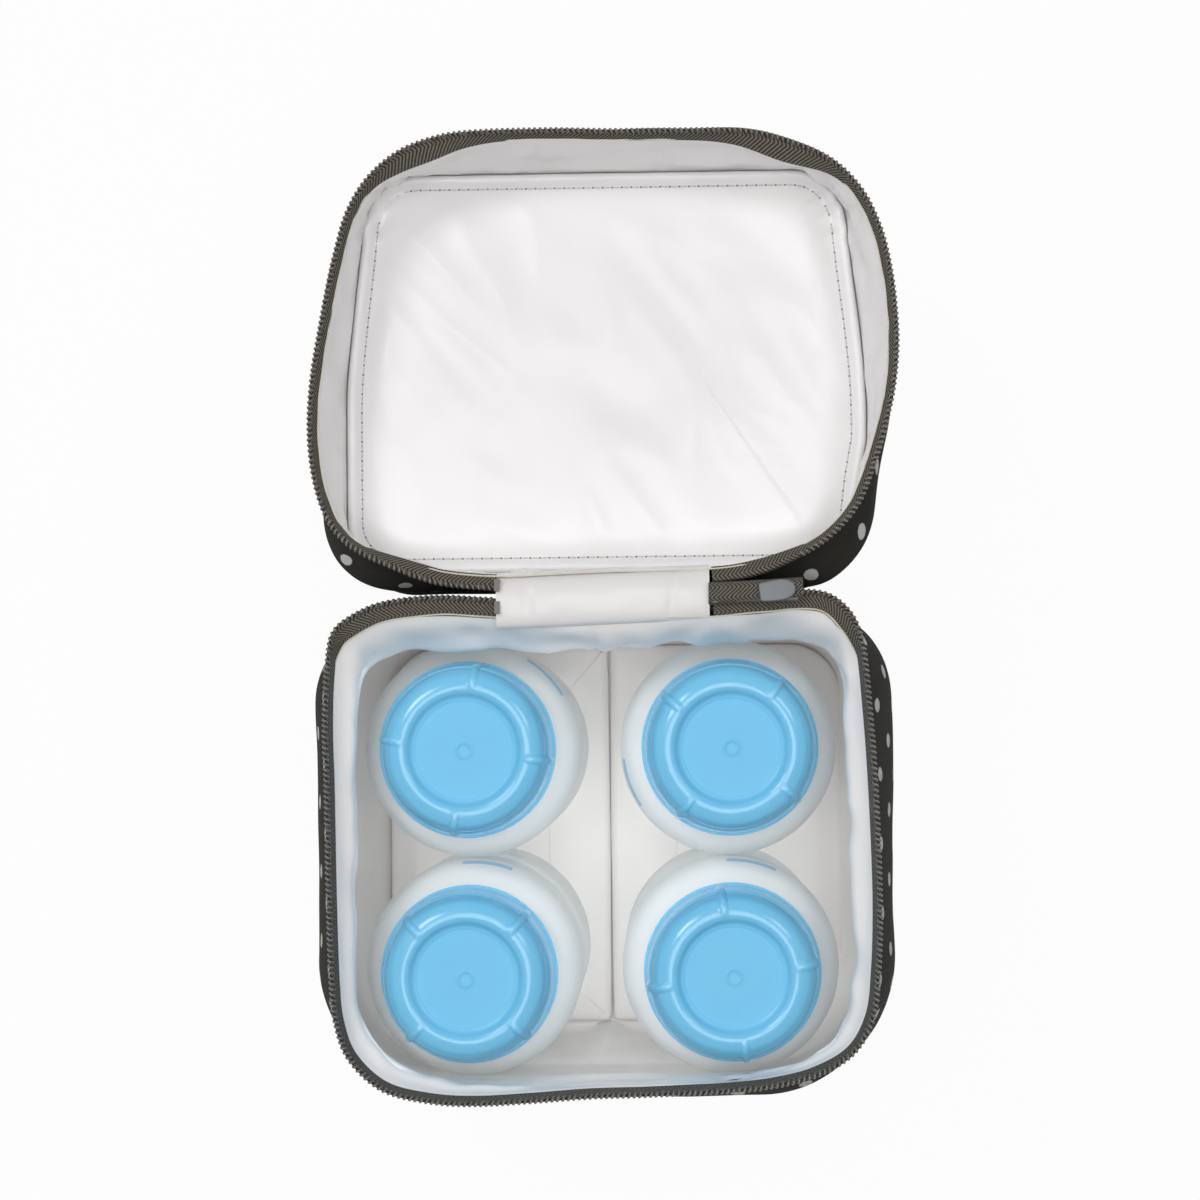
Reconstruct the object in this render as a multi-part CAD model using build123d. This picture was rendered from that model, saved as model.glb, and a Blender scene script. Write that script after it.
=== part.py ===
from build123d import *
import math
import os

# Breast milk cooler: a soft insulated bag with a zip-round lid, the lid laid open
# on its hinge, and four capped milk storage bottles standing in it two by two.
# Millimetres, +Z up, +Y towards the hinge and the open lid, +X to the right.
# The origin is the middle of the bag's underside.

# Bottle, heights from its own underside
bottle_radius = 29.2
bottle_wall = 1.3
bottle_height = 110.0
heel_radius = 4.0
shoulder_drop = 32.0
shoulder_radius = 15.0
shoulder_sweep = 62.0
neck_radius = 18.8
neck_wall = 1.5
neck_ring_stand = 1.6
neck_ring_thickness = 1.6
neck_ring_gap = 0.6

# Screw thread of the neck and the cap
thread_pitch = 4.0
thread_turns = 1.25
thread_depth = 1.1
thread_height = 1.5
thread_top_drop = 3.0
thread_clearance = 0.7
thread_root = 0.2
thread_flank_slope = 0.25
cap_thread_depth = 1.1
cap_thread_turns = 1.0

# Cap and the seal inside it
seal_thickness = 0.8
seal_clearance = 0.1
seal_edge_room = 1.4
cap_skirt = 14.0
cap_wall = 2.3
cap_roof = 1.6
cap_band_height = 3.2
cap_band_step = 0.4
cap_edge_radius = 6.0
cap_crest_rise = 2.3
cap_recess_slope = 2.2
rib_count = 4
rib_width = 1.3
rib_stand = 0.7
gate_ring_radius = 1.9
gate_ring_width = 0.6
gate_ring_rise = 0.3
cap_angles = (-8.0, 52.0, 46.0, 8.0)

# How the bottles stand in the bag
column_gap = 10.8
row_gap = 0.5
side_room = 9.7
row_room = 1.6
column_shift = -2.7
row_shift = -1.0
seat_gap = 0.1
headroom = 4.3

# Layers of the bag
fabric = 0.8
foam = 3.8
lining = 0.5
layer_gap = 0.06
board = 1.0
floor_foam = 4.0
leaf_thickness = 3.0
leaf_front_room = 3.6
leaf_back_room = 1.6
leaf_side_room = 1.2
leaf_slot = 0.5
leaf_corner = 16.0
leaf_edge = 1.0
leaf_split = -2.0

# Plan of the bag, and how its outside draws in at the foot and at the rim
front_corner = 30.0
back_corner = 24.0
foot_side_draw = 4.0
foot_front_draw = 0.8
foot_height = 28.0
collar_height = 22.0
rim_side_draw = 8.4
rim_front_draw = 3.2
rim_foam = 0.6
wall_steps = 4

# Zip: its tape and coil round the rim
tape_height = 8.0
tape_thickness = 0.8
coil_radius = 1.1
coil_gap = 0.05
parting_gap = 0.2

# Hinge at the back, between the two ends of the zip
hinge_room = 2.5
hinge_half_width = 27.0
hinge_end_gap = 0.3
web_thickness = 1.1
stop_length = 1.4
stop_wall = 0.5

# Closed stretch of the zip, which the slider holds
rail_radius = 0.75
rail_spacing = 1.5
chain_bar_length = 1.5
chain_end_room = 0.6

# Slider and its pull
slider_centre = 44.0
slider_length = 9.4
slider_nose = 2.2
slider_tail_width = 4.6
slider_height = 4.4
slider_plate = 0.8
slider_flange = 0.6
slider_flange_slot = 1.0
slider_clearance = 0.3
slider_post_length = 2.0
slider_sweep_gap = 0.4
loop_length = 4.6
loop_rise = 2.6
loop_wire = 0.8
loop_width = 1.2
pull_length = 24.0
pull_width = 3.8
pull_thickness = 1.1
pull_bar = 0.9
pull_eye_length = 2.4
pull_eye_width = 2.2
pull_end_radius = 1.6

# Lid, heights from the parting line of the closed zip
lid_depth = 38.0
lid_bulge_height = 21.5
lid_bulge_side_draw = 2.5
lid_bulge_front_draw = 0.5
lid_crown_side_draw = 9.0
lid_crown_front_draw = 7.0
lid_foam = 5.0
panel_thickness = 4.0
panel_edge = 1.2
welt_radius = 1.3
welt_gap = 0.15
stitch_inset = 4.0
stitch_width = 0.8
stitch_depth = 0.5

# Seam cord round the bottom and round the top of the lid
piping_radius = 1.25
piping_gap = 0.25

# Webbing handle on the lid
handle_span = 92.0
handle_width = 25.0
handle_thickness = 1.6
handle_rise = 24.0
handle_patch = 20.0
handle_lean = 8.0
handle_bend = 9.0
tack_width = 1.0
tack_rise = 0.4
tack_inset = 2.5

# Heights of the floor layers and of the bottles
shoulder_height = bottle_height - shoulder_drop
board_low = fabric + layer_gap
foam_low = board_low + board + layer_gap
floor_lining_low = foam_low + floor_foam + layer_gap
leaf_low = floor_lining_low + lining + layer_gap
leaf_top = leaf_low + leaf_thickness
bottle_base = leaf_top + seat_gap
cap_ceiling = bottle_height + seal_thickness + 2 * seal_clearance
cap_floor = cap_ceiling + cap_roof
cap_top = cap_floor + cap_crest_rise
parting = bottle_base + cap_top + headroom

# Heights of the rim
coil_centre = parting - parting_gap / 2 - coil_radius
tape_top = coil_centre - coil_radius - coil_gap
wall_top = tape_top - tape_height - coil_gap

# Plan of the bag and of its rim
stack = fabric + foam + lining + 2 * layer_gap
foot_draw = (foot_side_draw, foot_front_draw)
rim_draw = (rim_side_draw, rim_front_draw)
lining_rim_draw = (rim_side_draw - foam + rim_foam, rim_front_draw - foam + rim_foam)
lid_bulge_draw = (lid_bulge_side_draw, lid_bulge_front_draw)
lid_crown_draw = (lid_crown_side_draw, lid_crown_front_draw)
half_width = column_gap / 2 + 2 * bottle_radius + side_room + stack
half_depth = row_gap / 2 + 2 * bottle_radius + row_room + stack
rim_half_width = half_width - rim_side_draw - tape_thickness / 2
rim_front = -half_depth + rim_front_draw + tape_thickness / 2
rim_back = half_depth - tape_thickness / 2
hinge_y = half_depth + hinge_room

# Slider sizes that follow from the chain inside it
channel_half_width = rail_spacing + rail_radius + slider_clearance
slider_width = 2 * (channel_half_width + slider_flange)
slider_sweep = math.hypot(slider_width / 2, slider_height / 2) + slider_sweep_gap
notch_end = slider_centre + slider_length / 2 + chain_end_room
chain_start = hinge_half_width + hinge_end_gap
slider_travel = slider_centre - slider_length / 2 - chain_start - chain_bar_length - slider_clearance
loop_gap = loop_rise - loop_wire
pull_pivot_z = parting - slider_height / 2 - loop_gap / 2


def plan_line(inset, draw):
    """Closed outline of the bag seen from above, set in all round; its sides and front draw in."""
    side_draw, front_draw = draw
    wide = half_width - inset - side_draw
    low = -half_depth + inset + front_draw
    high = half_depth - inset
    corners = [(-wide, low), (wide, low), (wide, high), (-wide, high)]
    front_radius = front_corner - inset - side_draw
    back_radius = back_corner - inset - side_draw
    radii = [front_radius, front_radius, back_radius, back_radius]
    return FilletPolyline(corners, radius=radii, close=True)


def plan(level, inset, draw):
    """Face of the bag's plan at a height."""
    return Pos(0, 0, level) * make_face(plan_line(inset, draw))


def mixed(first, second, share):
    """Pair of draws between two pairs."""
    return tuple(a + (b - a) * share for a, b in zip(first, second))


def form(levels, inset):
    """Solid through the plans at some heights, set in from the bag's outside."""
    faces = [plan(level, inset, draw) for level, draw in levels]
    return loft(faces, ruled=True)


def plate(low, high, inset, draw):
    """Flat layer of the plan between two heights."""
    return extrude(plan(low, inset, draw), high - low)


def tube(line, radius):
    """Round cord along a line."""
    section = Plane(origin=line @ 0, z_dir=line % 0) * Circle(radius)
    return sweep(section, path=line)


def turned(lines):
    """Solid turned about Z from the lines of a half section, radius and height."""
    edges = [edge for line in lines for edge in line.edges()]
    return revolve(Plane.XZ * make_face(edges), axis=Axis.Z)


def block(low, high):
    """Box between two corners."""
    size = [b - a for a, b in zip(low, high)]
    return Pos(*low) * Box(*size, align=(Align.MIN, Align.MIN, Align.MIN))


def unfold(shape):
    """Lid piece modelled closed, turned half round the hinge to lie open."""
    hinge = Pos(0, hinge_y, parting)
    return hinge * Rot(180, 0, 0) * hinge.inverse() * shape


def wall_levels(low, top, top_draw):
    """Heights and draws of the bag's side: rounded in at the foot and towards the rim."""
    full = (0.0, 0.0)
    levels = []
    for step in range(wall_steps):
        share = step / wall_steps
        levels.append((low + (foot_height - low) * share, mixed(full, foot_draw, (1 - share) ** 2)))
    for step in range(wall_steps + 1):
        share = step / wall_steps
        levels.append((top - collar_height * (1 - share), mixed(full, top_draw, share**2)))
    return levels


def lid_levels(low_draw):
    """Heights and draws of the closed lid's side: out to its bulge, then in to its crown."""
    low = 2 * parting - wall_top
    bulge = parting + lid_bulge_height
    crown = parting + lid_depth - fabric - layer_gap
    levels = []
    for step in range(wall_steps):
        share = 1 - step / wall_steps
        levels.append((bulge - (bulge - low) * share, mixed(lid_bulge_draw, low_draw, share**2)))
    for step in range(wall_steps + 1):
        share = step / wall_steps
        levels.append((bulge + (crown - bulge) * share, mixed(lid_bulge_draw, lid_crown_draw, share**2)))
    return levels


def wall_layers(outside, inside):
    """Outer fabric, foam and lining between the outer levels and the lining's levels."""
    foam_inset = fabric + layer_gap
    lining_inset = foam_inset + foam + layer_gap
    outer = form(outside, 0.0) - form(outside, fabric)
    padding = form(outside, foam_inset) - form(inside, foam_inset + foam)
    lined = form(inside, lining_inset) - form(inside, stack)
    return outer, padding, lined


def base_wall_layers():
    """Outer fabric, foam and lining of the bag's wall."""
    low = fabric + layer_gap
    outside = wall_levels(low, wall_top, rim_draw)
    inside = wall_levels(low, wall_top, lining_rim_draw)
    return wall_layers(outside, inside)


def base_floor_layers():
    """Outer bottom, stiffening board, foam and lining of the bag's floor."""
    inner = stack + layer_gap
    bottom = plate(0.0, fabric, 0.0, foot_draw)
    stiffener = plate(board_low, board_low + board, inner, foot_draw)
    padding = plate(foam_low, foam_low + floor_foam, inner, foot_draw)
    inside = plate(floor_lining_low, floor_lining_low + lining, inner, foot_draw)
    return bottom, stiffener, padding, inside


def floor_leaf(side):
    """One padded leaf of the loose floor pad, left or right of the middle slot."""
    low = -half_depth + stack + foot_front_draw + leaf_front_room
    high = half_depth - stack - leaf_back_room
    edge = half_width - stack - foot_side_draw - leaf_side_room
    inner = leaf_split if side < 0 else leaf_split + leaf_slot
    left = min(side * edge, inner)
    right = max(side * edge, inner)
    leaf = block((left, low, leaf_low), (right, high, leaf_top))
    corners = leaf.edges().filter_by(Axis.Z).sort_by(Axis.X)
    outer = corners[:2] if side < 0 else corners[2:]
    leaf = fillet(outer, leaf_corner)
    return fillet(leaf.faces().sort_by(Axis.Z)[-1].edges(), leaf_edge)


def piping(draw, level):
    """Seam cord round the plan at a height."""
    line = plan_line(-piping_radius - piping_gap, draw)
    return tube(Pos(0, 0, level) * line, piping_radius)


def zip_tape():
    """Upright tape round the rim, open at the hinge and lowered beside the slider."""
    outer = plate(wall_top + coil_gap, tape_top, 0.0, rim_draw)
    inner = plate(wall_top + coil_gap, tape_top, tape_thickness, rim_draw)
    tape = outer - inner
    near = rim_back - back_corner + rim_side_draw
    hinge_cut = block(
        (-hinge_half_width - hinge_end_gap, near, wall_top),
        (hinge_half_width + hinge_end_gap, hinge_y, parting),
    )
    notch = block(
        (hinge_half_width, near, parting - slider_sweep),
        (notch_end, hinge_y, parting),
    )
    return tape - hinge_cut - notch


def zip_coil():
    """Coil on the tape's edge, from the left end of the zip round to the slider."""
    radius = tape_thickness / 2 + rim_side_draw
    start = hinge_half_width + hinge_end_gap + stop_length
    route = [
        (-start, rim_back),
        (-rim_half_width, rim_back),
        (-rim_half_width, rim_front),
        (rim_half_width, rim_front),
        (rim_half_width, rim_back),
        (notch_end + hinge_end_gap, rim_back),
    ]
    radii = [back_corner - radius, front_corner - radius, front_corner - radius, back_corner - radius]
    line = FilletPolyline(route, radius=radii)
    return tube(Pos(0, 0, coil_centre) * line, coil_radius)


def zip_stop():
    """Metal stop clamped across the tape at the left end of the coil."""
    reach = coil_radius + stop_wall
    left = -hinge_half_width - hinge_end_gap - stop_length
    return block(
        (left, rim_back - reach, tape_top),
        (left + stop_length, rim_back + reach, coil_centre + coil_radius),
    )


def hinge_web():
    """Half of the fabric hinge: it stands on the wall and turns over to the fold."""
    inner = rim_back - tape_thickness / 2
    upright = block(
        (-hinge_half_width, inner, wall_top + coil_gap),
        (hinge_half_width, inner + tape_thickness, parting - parting_gap / 2),
    )
    flange = block(
        (-hinge_half_width, inner, parting - parting_gap / 2 - web_thickness),
        (hinge_half_width, hinge_y - parting_gap / 2, parting - parting_gap / 2),
    )
    return upright + flange


def closed_chain():
    """Closed stretch of the zip: the two coils side by side, joined at their start."""
    bar_half = rail_spacing + rail_radius
    start = Pos(chain_start, hinge_y, parting)
    bar = start * Box(
        chain_bar_length, 2 * bar_half, 2 * rail_radius, align=(Align.MIN, Align.CENTER, Align.CENTER)
    )
    run = notch_end - chain_start
    chain = bar
    for side in (-1, 1):
        rail = Cylinder(rail_radius, run, align=(Align.CENTER, Align.CENTER, Align.MIN))
        chain += start * Pos(0, side * rail_spacing, 0) * Rot(0, 90, 0) * rail
    return chain


def slider_outline():
    """Outline of a slider plate: narrow behind, wide over the divider, pointed in front."""
    back = -slider_length / 2
    front = slider_length / 2
    wide = slider_width / 2
    tail = slider_tail_width / 2
    corners = [
        (back, -tail),
        (0, -wide),
        (front - slider_nose, -wide),
        (front, 0),
        (front - slider_nose, wide),
        (0, wide),
        (back, tail),
    ]
    return make_face(Polyline(corners, close=True))


def slider_body():
    """Slider: two plates on a divider, flanges round the chain and a loop for the pull."""
    top = slider_height / 2 - slider_plate
    outline = slider_outline()
    body = Pos(0, 0, top) * extrude(outline, slider_plate)
    body += Pos(0, 0, -top - slider_plate) * extrude(outline, slider_plate)
    post_half = rail_spacing - rail_radius - slider_clearance
    front = slider_length / 2 - slider_nose
    body += block((front - slider_post_length, -post_half, -top), (front, post_half, top))
    flange_height = top - slider_flange_slot / 2
    for side in (-1, 1):
        near = side * channel_half_width
        far = side * slider_width / 2
        for low in (-top, slider_flange_slot / 2):
            flange = block((0, min(near, far), low), (front, max(near, far), low + flange_height))
            body += flange
    bottom = -slider_height / 2
    hoop = block(
        (-loop_length / 2, -loop_width / 2, bottom - loop_rise), (loop_length / 2, loop_width / 2, bottom)
    )
    window = block(
        (-loop_length / 2 + loop_wire, -loop_width, bottom - loop_gap),
        (loop_length / 2 - loop_wire, loop_width, bottom),
    )
    body += hoop - window
    return Pos(slider_centre, hinge_y, parting) * body


def pull_tab():
    """Flat pull hanging from the slider's loop by its eye."""
    top = pull_bar / 2
    tab = block(
        (-pull_thickness / 2, -pull_width / 2, top - pull_length),
        (pull_thickness / 2, pull_width / 2, top),
    )
    ends = tab.edges().filter_by(Axis.X).sort_by(Axis.Z)[:2]
    tab = fillet(ends, pull_end_radius)
    eye = block(
        (-pull_thickness, -pull_eye_width / 2, top - pull_bar - pull_eye_length),
        (pull_thickness, pull_eye_width / 2, top - pull_bar),
    )
    return Pos(slider_centre, hinge_y, pull_pivot_z) * (tab - eye)


def lid_wall_layers():
    """Outer fabric, foam and lining of the lid's wall, closed."""
    outside = lid_levels(rim_draw)
    low = outside[0][0]
    ceiling = outside[-1][0] - lid_foam - layer_gap
    outer, padding, lined = wall_layers(outside, lid_levels(lining_rim_draw))
    keep = block((-2 * half_width, -2 * half_depth, low), (2 * half_width, 2 * half_depth, ceiling))
    return outer, padding, lined & keep


def lid_inner_draw(height):
    """How far the lid's side is drawn in at a height above its bulge."""
    bulge = parting + lid_bulge_height
    share = (height - bulge) / (lid_depth - lid_bulge_height)
    return mixed(lid_bulge_draw, lid_crown_draw, share**2)


def lid_top_layers():
    """Outer top and its foam, closed."""
    crown = parting + lid_depth - fabric - layer_gap
    outer = plate(crown + layer_gap, crown + layer_gap + fabric, 0.0, lid_crown_draw)
    inset = fabric + foam + 2 * layer_gap
    padding = plate(crown - lid_foam, crown, inset + layer_gap, lid_crown_draw)
    return outer, padding


def lid_panel():
    """Padded inner panel of the lid with a stitched groove near its edge, and its rolled seam."""
    crown = parting + lid_depth - fabric - layer_gap
    high = crown - lid_foam - layer_gap
    low = high - panel_thickness
    inset = stack + layer_gap + 2 * welt_radius + 2 * welt_gap
    draw = lid_inner_draw(high)
    panel = plate(low, high, inset, draw)
    panel = fillet(panel.faces().sort_by(Axis.Z)[0].edges(), panel_edge)
    groove_outer = plate(low, low + stitch_depth, inset + stitch_inset, draw)
    groove_inner = plate(low, low + stitch_depth, inset + stitch_inset + stitch_width, draw)
    panel -= groove_outer - groove_inner
    line = plan_line(inset - welt_radius - welt_gap, draw)
    welt = tube(Pos(0, 0, low + welt_radius) * line, welt_radius)
    return panel, welt


def handle():
    """Webbing handle with its two sewn ends on the lid's top, and their stitching, closed."""
    seat = parting + lid_depth + layer_gap
    half = handle_span / 2
    high = handle_rise
    route = [
        (-half - handle_patch, 0),
        (-half, 0),
        (-half + handle_lean, high),
        (half - handle_lean, high),
        (half, 0),
        (half + handle_patch, 0),
    ]
    line = Plane.XZ * FilletPolyline(route, radius=handle_bend)
    start = Plane(origin=line @ 0, z_dir=line % 0, x_dir=(0, 1, 0))
    section = start * Rectangle(handle_width, handle_thickness)
    strap = sweep(section, path=line)
    middle = (rim_front + rim_back) / 2
    place = Pos(0, middle, seat + handle_thickness / 2)
    tacks = []
    for side in (-1, 1):
        for reach in (tack_inset, handle_patch - handle_bend / 2 - tack_inset):
            x = side * (half + handle_patch - reach)
            rise = handle_thickness / 2 + layer_gap
            tack = Pos(x, 0, rise + tack_rise / 2) * Box(tack_width, handle_width - 2 * tack_inset, tack_rise)
            tacks.append(place * tack)
    return place * strap, tacks


def bottle_outline(inset, low, top, neck):
    """Half section of the bottle's outside or inside, from its floor to its lip."""
    side = bottle_radius - inset
    heel = heel_radius - inset if heel_radius > inset else inset
    heel_centre = (side - heel, low + heel)
    shoulder = shoulder_radius - inset
    centre = (side - shoulder, shoulder_height)
    angle = math.radians(shoulder_sweep)
    tip = (centre[0] + shoulder * math.cos(angle), centre[1] + shoulder * math.sin(angle))
    neck_low = tip[1] + (tip[0] - neck) / math.tan(angle)
    return [
        Line((0, low), (side - heel, low)),
        CenterArc(heel_centre, heel, -90, 90),
        Line((side, low + heel), (side, shoulder_height)),
        CenterArc(centre, shoulder, 0, shoulder_sweep),
        Polyline([tip, (neck, neck_low), (neck, top), (0, top), (0, low)]),
    ]


def thread(radius, depth, low, turns, way):
    """One start of screw thread, standing out (way 1) or in (way -1), sunk a little into its wall."""
    line = Pos(0, 0, low) * Helix(pitch=thread_pitch, height=thread_pitch * turns, radius=radius)
    half = thread_height / 2
    crest = half - depth * thread_flank_slope
    section = Polyline(
        [
            (-way * thread_root, -half),
            (way * depth, -crest),
            (way * depth, crest),
            (-way * thread_root, half),
        ],
        close=True,
    )
    place = Plane(origin=line @ 0, x_dir=(1, 0, 0), z_dir=line % 0)
    return sweep(place * make_face(section), path=line, is_frenet=True)


def bottle():
    """Storage bottle: thin-walled, with a neck ring and one start of thread."""
    body = turned(bottle_outline(0.0, 0.0, bottle_height, neck_radius))
    thread_low = bottle_height - thread_top_drop - thread_pitch * thread_turns
    body += thread(neck_radius, thread_depth, thread_low, thread_turns, 1)
    ring_top = cap_ceiling - cap_skirt - neck_ring_gap
    collar = Cylinder(
        neck_radius + neck_ring_stand, neck_ring_thickness, align=(Align.CENTER, Align.CENTER, Align.MAX)
    )
    body += Pos(0, 0, ring_top) * collar
    inside = turned(bottle_outline(bottle_wall, bottle_wall, bottle_height, neck_radius - neck_wall))
    return body - inside


def seal():
    """Soft disc between the bottle's lip and the cap's roof."""
    radius = neck_radius + thread_depth + thread_clearance - seal_edge_room
    low = bottle_height + seal_clearance
    return Pos(0, 0, low) * Cylinder(radius, seal_thickness, align=(Align.CENTER, Align.CENTER, Align.MIN))


def cap_form(stand):
    """Outside of the cap, standing out by some amount: skirt, rounded ring and sunken disc."""
    bore = neck_radius + thread_depth + thread_clearance
    side = bore + cap_wall
    low = cap_ceiling - cap_skirt
    centre = (side - cap_edge_radius, cap_top - cap_edge_radius)
    crest = (centre[0], cap_top + stand)
    foot = (centre[0] - cap_recess_slope, cap_floor + stand)
    return turned(
        [
            Polyline([(0, low), (side + stand, low), (side + stand, centre[1])]),
            CenterArc(centre, cap_edge_radius + stand, 0, 90),
            Polyline([crest, foot, (0, cap_floor + stand), (0, low)]),
        ]
    )


def cap():
    """Screw cap with a sunken top, four raised ribs, a band at its foot and its thread."""
    bore = neck_radius + thread_depth + thread_clearance
    side = bore + cap_wall
    low = cap_ceiling - cap_skirt
    body = cap_form(0.0)
    band = Cylinder(side + cap_band_step, cap_band_height, align=(Align.CENTER, Align.CENTER, Align.MIN))
    body += Pos(0, 0, low) * band
    inner = side - cap_edge_radius - cap_recess_slope
    proud = cap_form(rib_stand)
    for index in range(rib_count):
        turn = Rot(0, 0, 360 / rib_count * index)
        bar = block((inner, -rib_width / 2, low + cap_band_height), (2 * side, rib_width / 2, cap_top + side))
        body += (turn * bar) & proud
    gate = Cylinder(gate_ring_radius, gate_ring_rise, align=(Align.CENTER, Align.CENTER, Align.MIN))
    gate -= Cylinder(
        gate_ring_radius - gate_ring_width, gate_ring_rise, align=(Align.CENTER, Align.CENTER, Align.MIN)
    )
    body += Pos(0, 0, cap_floor) * gate
    hollow = Cylinder(bore, cap_skirt, align=(Align.CENTER, Align.CENTER, Align.MIN))
    body -= Pos(0, 0, low) * hollow
    thread_low = bottle_height - thread_top_drop - thread_pitch * thread_turns + thread_pitch / 2
    body += thread(bore, cap_thread_depth, thread_low, cap_thread_turns, -1)
    return body


def bottle_places():
    """Middles of the four bottles: back left, back right, front left, front right."""
    column = column_gap / 2 + bottle_radius
    row = row_gap / 2 + bottle_radius
    return [
        (side_x * column + column_shift, side_y * row + row_shift)
        for side_y in (1, -1)
        for side_x in (-1, 1)
    ]


def save(name, shape):
    """Write one node's solids."""
    solids = shape if isinstance(shape, list) else [shape]
    body = solids[0] if len(solids) == 1 else Compound(children=solids)
    export_step(body, os.path.join("parts", name + ".step"))


def write_base():
    """Every fixed piece of the bag's lower part."""
    outer, padding, inside = base_wall_layers()
    bottom, stiffener, floor_padding, floor_lining = base_floor_layers()
    save("base_outer_wall", outer)
    save("base_wall_foam", padding)
    save("base_wall_lining", inside)
    save("base_outer_bottom", bottom)
    save("base_floor_board", stiffener)
    save("base_floor_foam", floor_padding)
    save("base_floor_lining", floor_lining)
    save("floor_pad_left", floor_leaf(-1))
    save("floor_pad_right", floor_leaf(1))
    save("base_piping", piping(foot_draw, piping_radius + layer_gap))
    save("base_zip_tape", zip_tape())
    save("base_zip_coil", zip_coil())
    save("base_zip_stop", zip_stop())
    save("base_hinge_web", hinge_web())


def write_lid():
    """Every piece that turns with the lid, laid open."""
    outer, padding, inside = lid_wall_layers()
    top, top_padding = lid_top_layers()
    panel, welt = lid_panel()
    strap, tacks = handle()
    save("lid_outer_wall", unfold(outer))
    save("lid_wall_foam", unfold(padding))
    save("lid_wall_lining", unfold(inside))
    save("lid_outer_top", unfold(top))
    save("lid_top_foam", unfold(top_padding))
    save("lid_inner_panel", unfold(panel))
    save("lid_panel_welt", unfold(welt))
    save("lid_piping", unfold(piping(lid_crown_draw, parting + lid_depth)))
    save("handle_strap", unfold(strap))
    save("handle_stitching", [unfold(tack) for tack in tacks])
    mirrored = Plane.XY.offset(parting)
    save("lid_zip_tape", unfold(mirror(zip_tape(), mirrored)))
    save("lid_zip_coil", unfold(mirror(zip_coil(), mirrored)))
    save("lid_zip_stop", unfold(mirror(zip_stop(), mirrored)))
    save("lid_hinge_web", unfold(mirror(hinge_web(), mirrored)))


def write_zip():
    """Closed chain, slider and pull at the hinge's right end."""
    save("zip_chain", closed_chain())
    save("zip_slider", slider_body())
    save("slider_pull", pull_tab())


def write_bottles():
    """Four bottles, each with its seal and cap."""
    vessel = bottle()
    disc = seal()
    lid = cap()
    for index, (x, y) in enumerate(bottle_places()):
        place = Pos(x, y, bottle_base)
        number = str(index + 1)
        save("bottle_" + number, place * vessel)
        save("bottle_seal_" + number, place * disc)
        save("bottle_cap_" + number, place * Rot(0, 0, cap_angles[index]) * lid)


os.makedirs("parts", exist_ok=True)
write_base()
write_lid()
write_zip()
write_bottles()
print("parting line height", round(parting, 2), "hinge line", round(hinge_y, 2))
print("slider travel", round(slider_travel, 2), "pull pivot height", round(pull_pivot_z, 2))
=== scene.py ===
import math

import bmesh
import bpy
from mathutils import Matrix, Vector, noise


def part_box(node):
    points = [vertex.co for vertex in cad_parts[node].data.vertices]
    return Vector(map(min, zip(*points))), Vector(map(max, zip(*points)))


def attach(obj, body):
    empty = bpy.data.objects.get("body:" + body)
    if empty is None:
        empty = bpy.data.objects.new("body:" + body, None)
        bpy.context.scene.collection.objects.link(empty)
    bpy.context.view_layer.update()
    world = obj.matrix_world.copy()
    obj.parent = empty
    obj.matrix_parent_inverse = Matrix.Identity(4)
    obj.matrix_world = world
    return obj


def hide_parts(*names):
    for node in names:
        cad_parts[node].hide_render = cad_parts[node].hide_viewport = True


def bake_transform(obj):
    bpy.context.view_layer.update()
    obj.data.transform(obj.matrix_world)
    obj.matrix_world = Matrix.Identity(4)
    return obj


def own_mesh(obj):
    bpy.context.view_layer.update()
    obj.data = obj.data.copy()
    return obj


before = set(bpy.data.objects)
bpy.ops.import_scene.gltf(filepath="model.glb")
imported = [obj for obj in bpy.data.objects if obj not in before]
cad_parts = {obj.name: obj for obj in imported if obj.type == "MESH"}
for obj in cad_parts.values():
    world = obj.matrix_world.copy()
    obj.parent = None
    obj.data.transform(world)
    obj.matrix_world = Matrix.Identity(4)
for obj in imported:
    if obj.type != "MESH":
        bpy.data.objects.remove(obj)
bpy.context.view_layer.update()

# An open breast milk cooler seen from above: a soft padded bag, its zip-round lid laid
# back, and four capped milk bottles in it. Metres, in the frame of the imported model.
mm = 0.001

# The camera stands almost straight above the open bag, a little towards the hinge,
# with a long lens, as the picture was taken.
bpy.ops.object.select_all(action="DESELECT")
bpy.ops.object.camera_add(
    location=(0.0143, 0.0342, 0.7870),
    rotation=(math.radians(2.81), math.radians(1.40), math.radians(-0.60)),
)
camera = bpy.context.active_object
camera.data.lens = 76.98
camera.data.sensor_width = 36.0
bpy.context.scene.camera = camera
bpy.context.scene.view_settings.view_transform = "Standard"


# Studio light: soft lamps from the upper left and right, a wide one round the camera
# that reaches into the bag, two low fills for what clear bottles let through, and an
# even white surround.
def lamp(name, place, aim, size, power, depth=0.0, hidden=False):
    """Soft square or oblong lamp at a place, turned to a point."""
    bpy.ops.object.light_add(type="AREA", location=place)
    made = bpy.context.active_object
    made.name = name
    made.data.shape = "RECTANGLE" if depth else "SQUARE"
    made.data.size = size
    if depth:
        made.data.size_y = depth
    if hidden:
        made.visible_camera = False
        made.visible_glossy = False
    made.data.energy = power
    made.rotation_euler = (Vector(aim) - Vector(place)).to_track_quat("-Z", "Y").to_euler()


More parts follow.
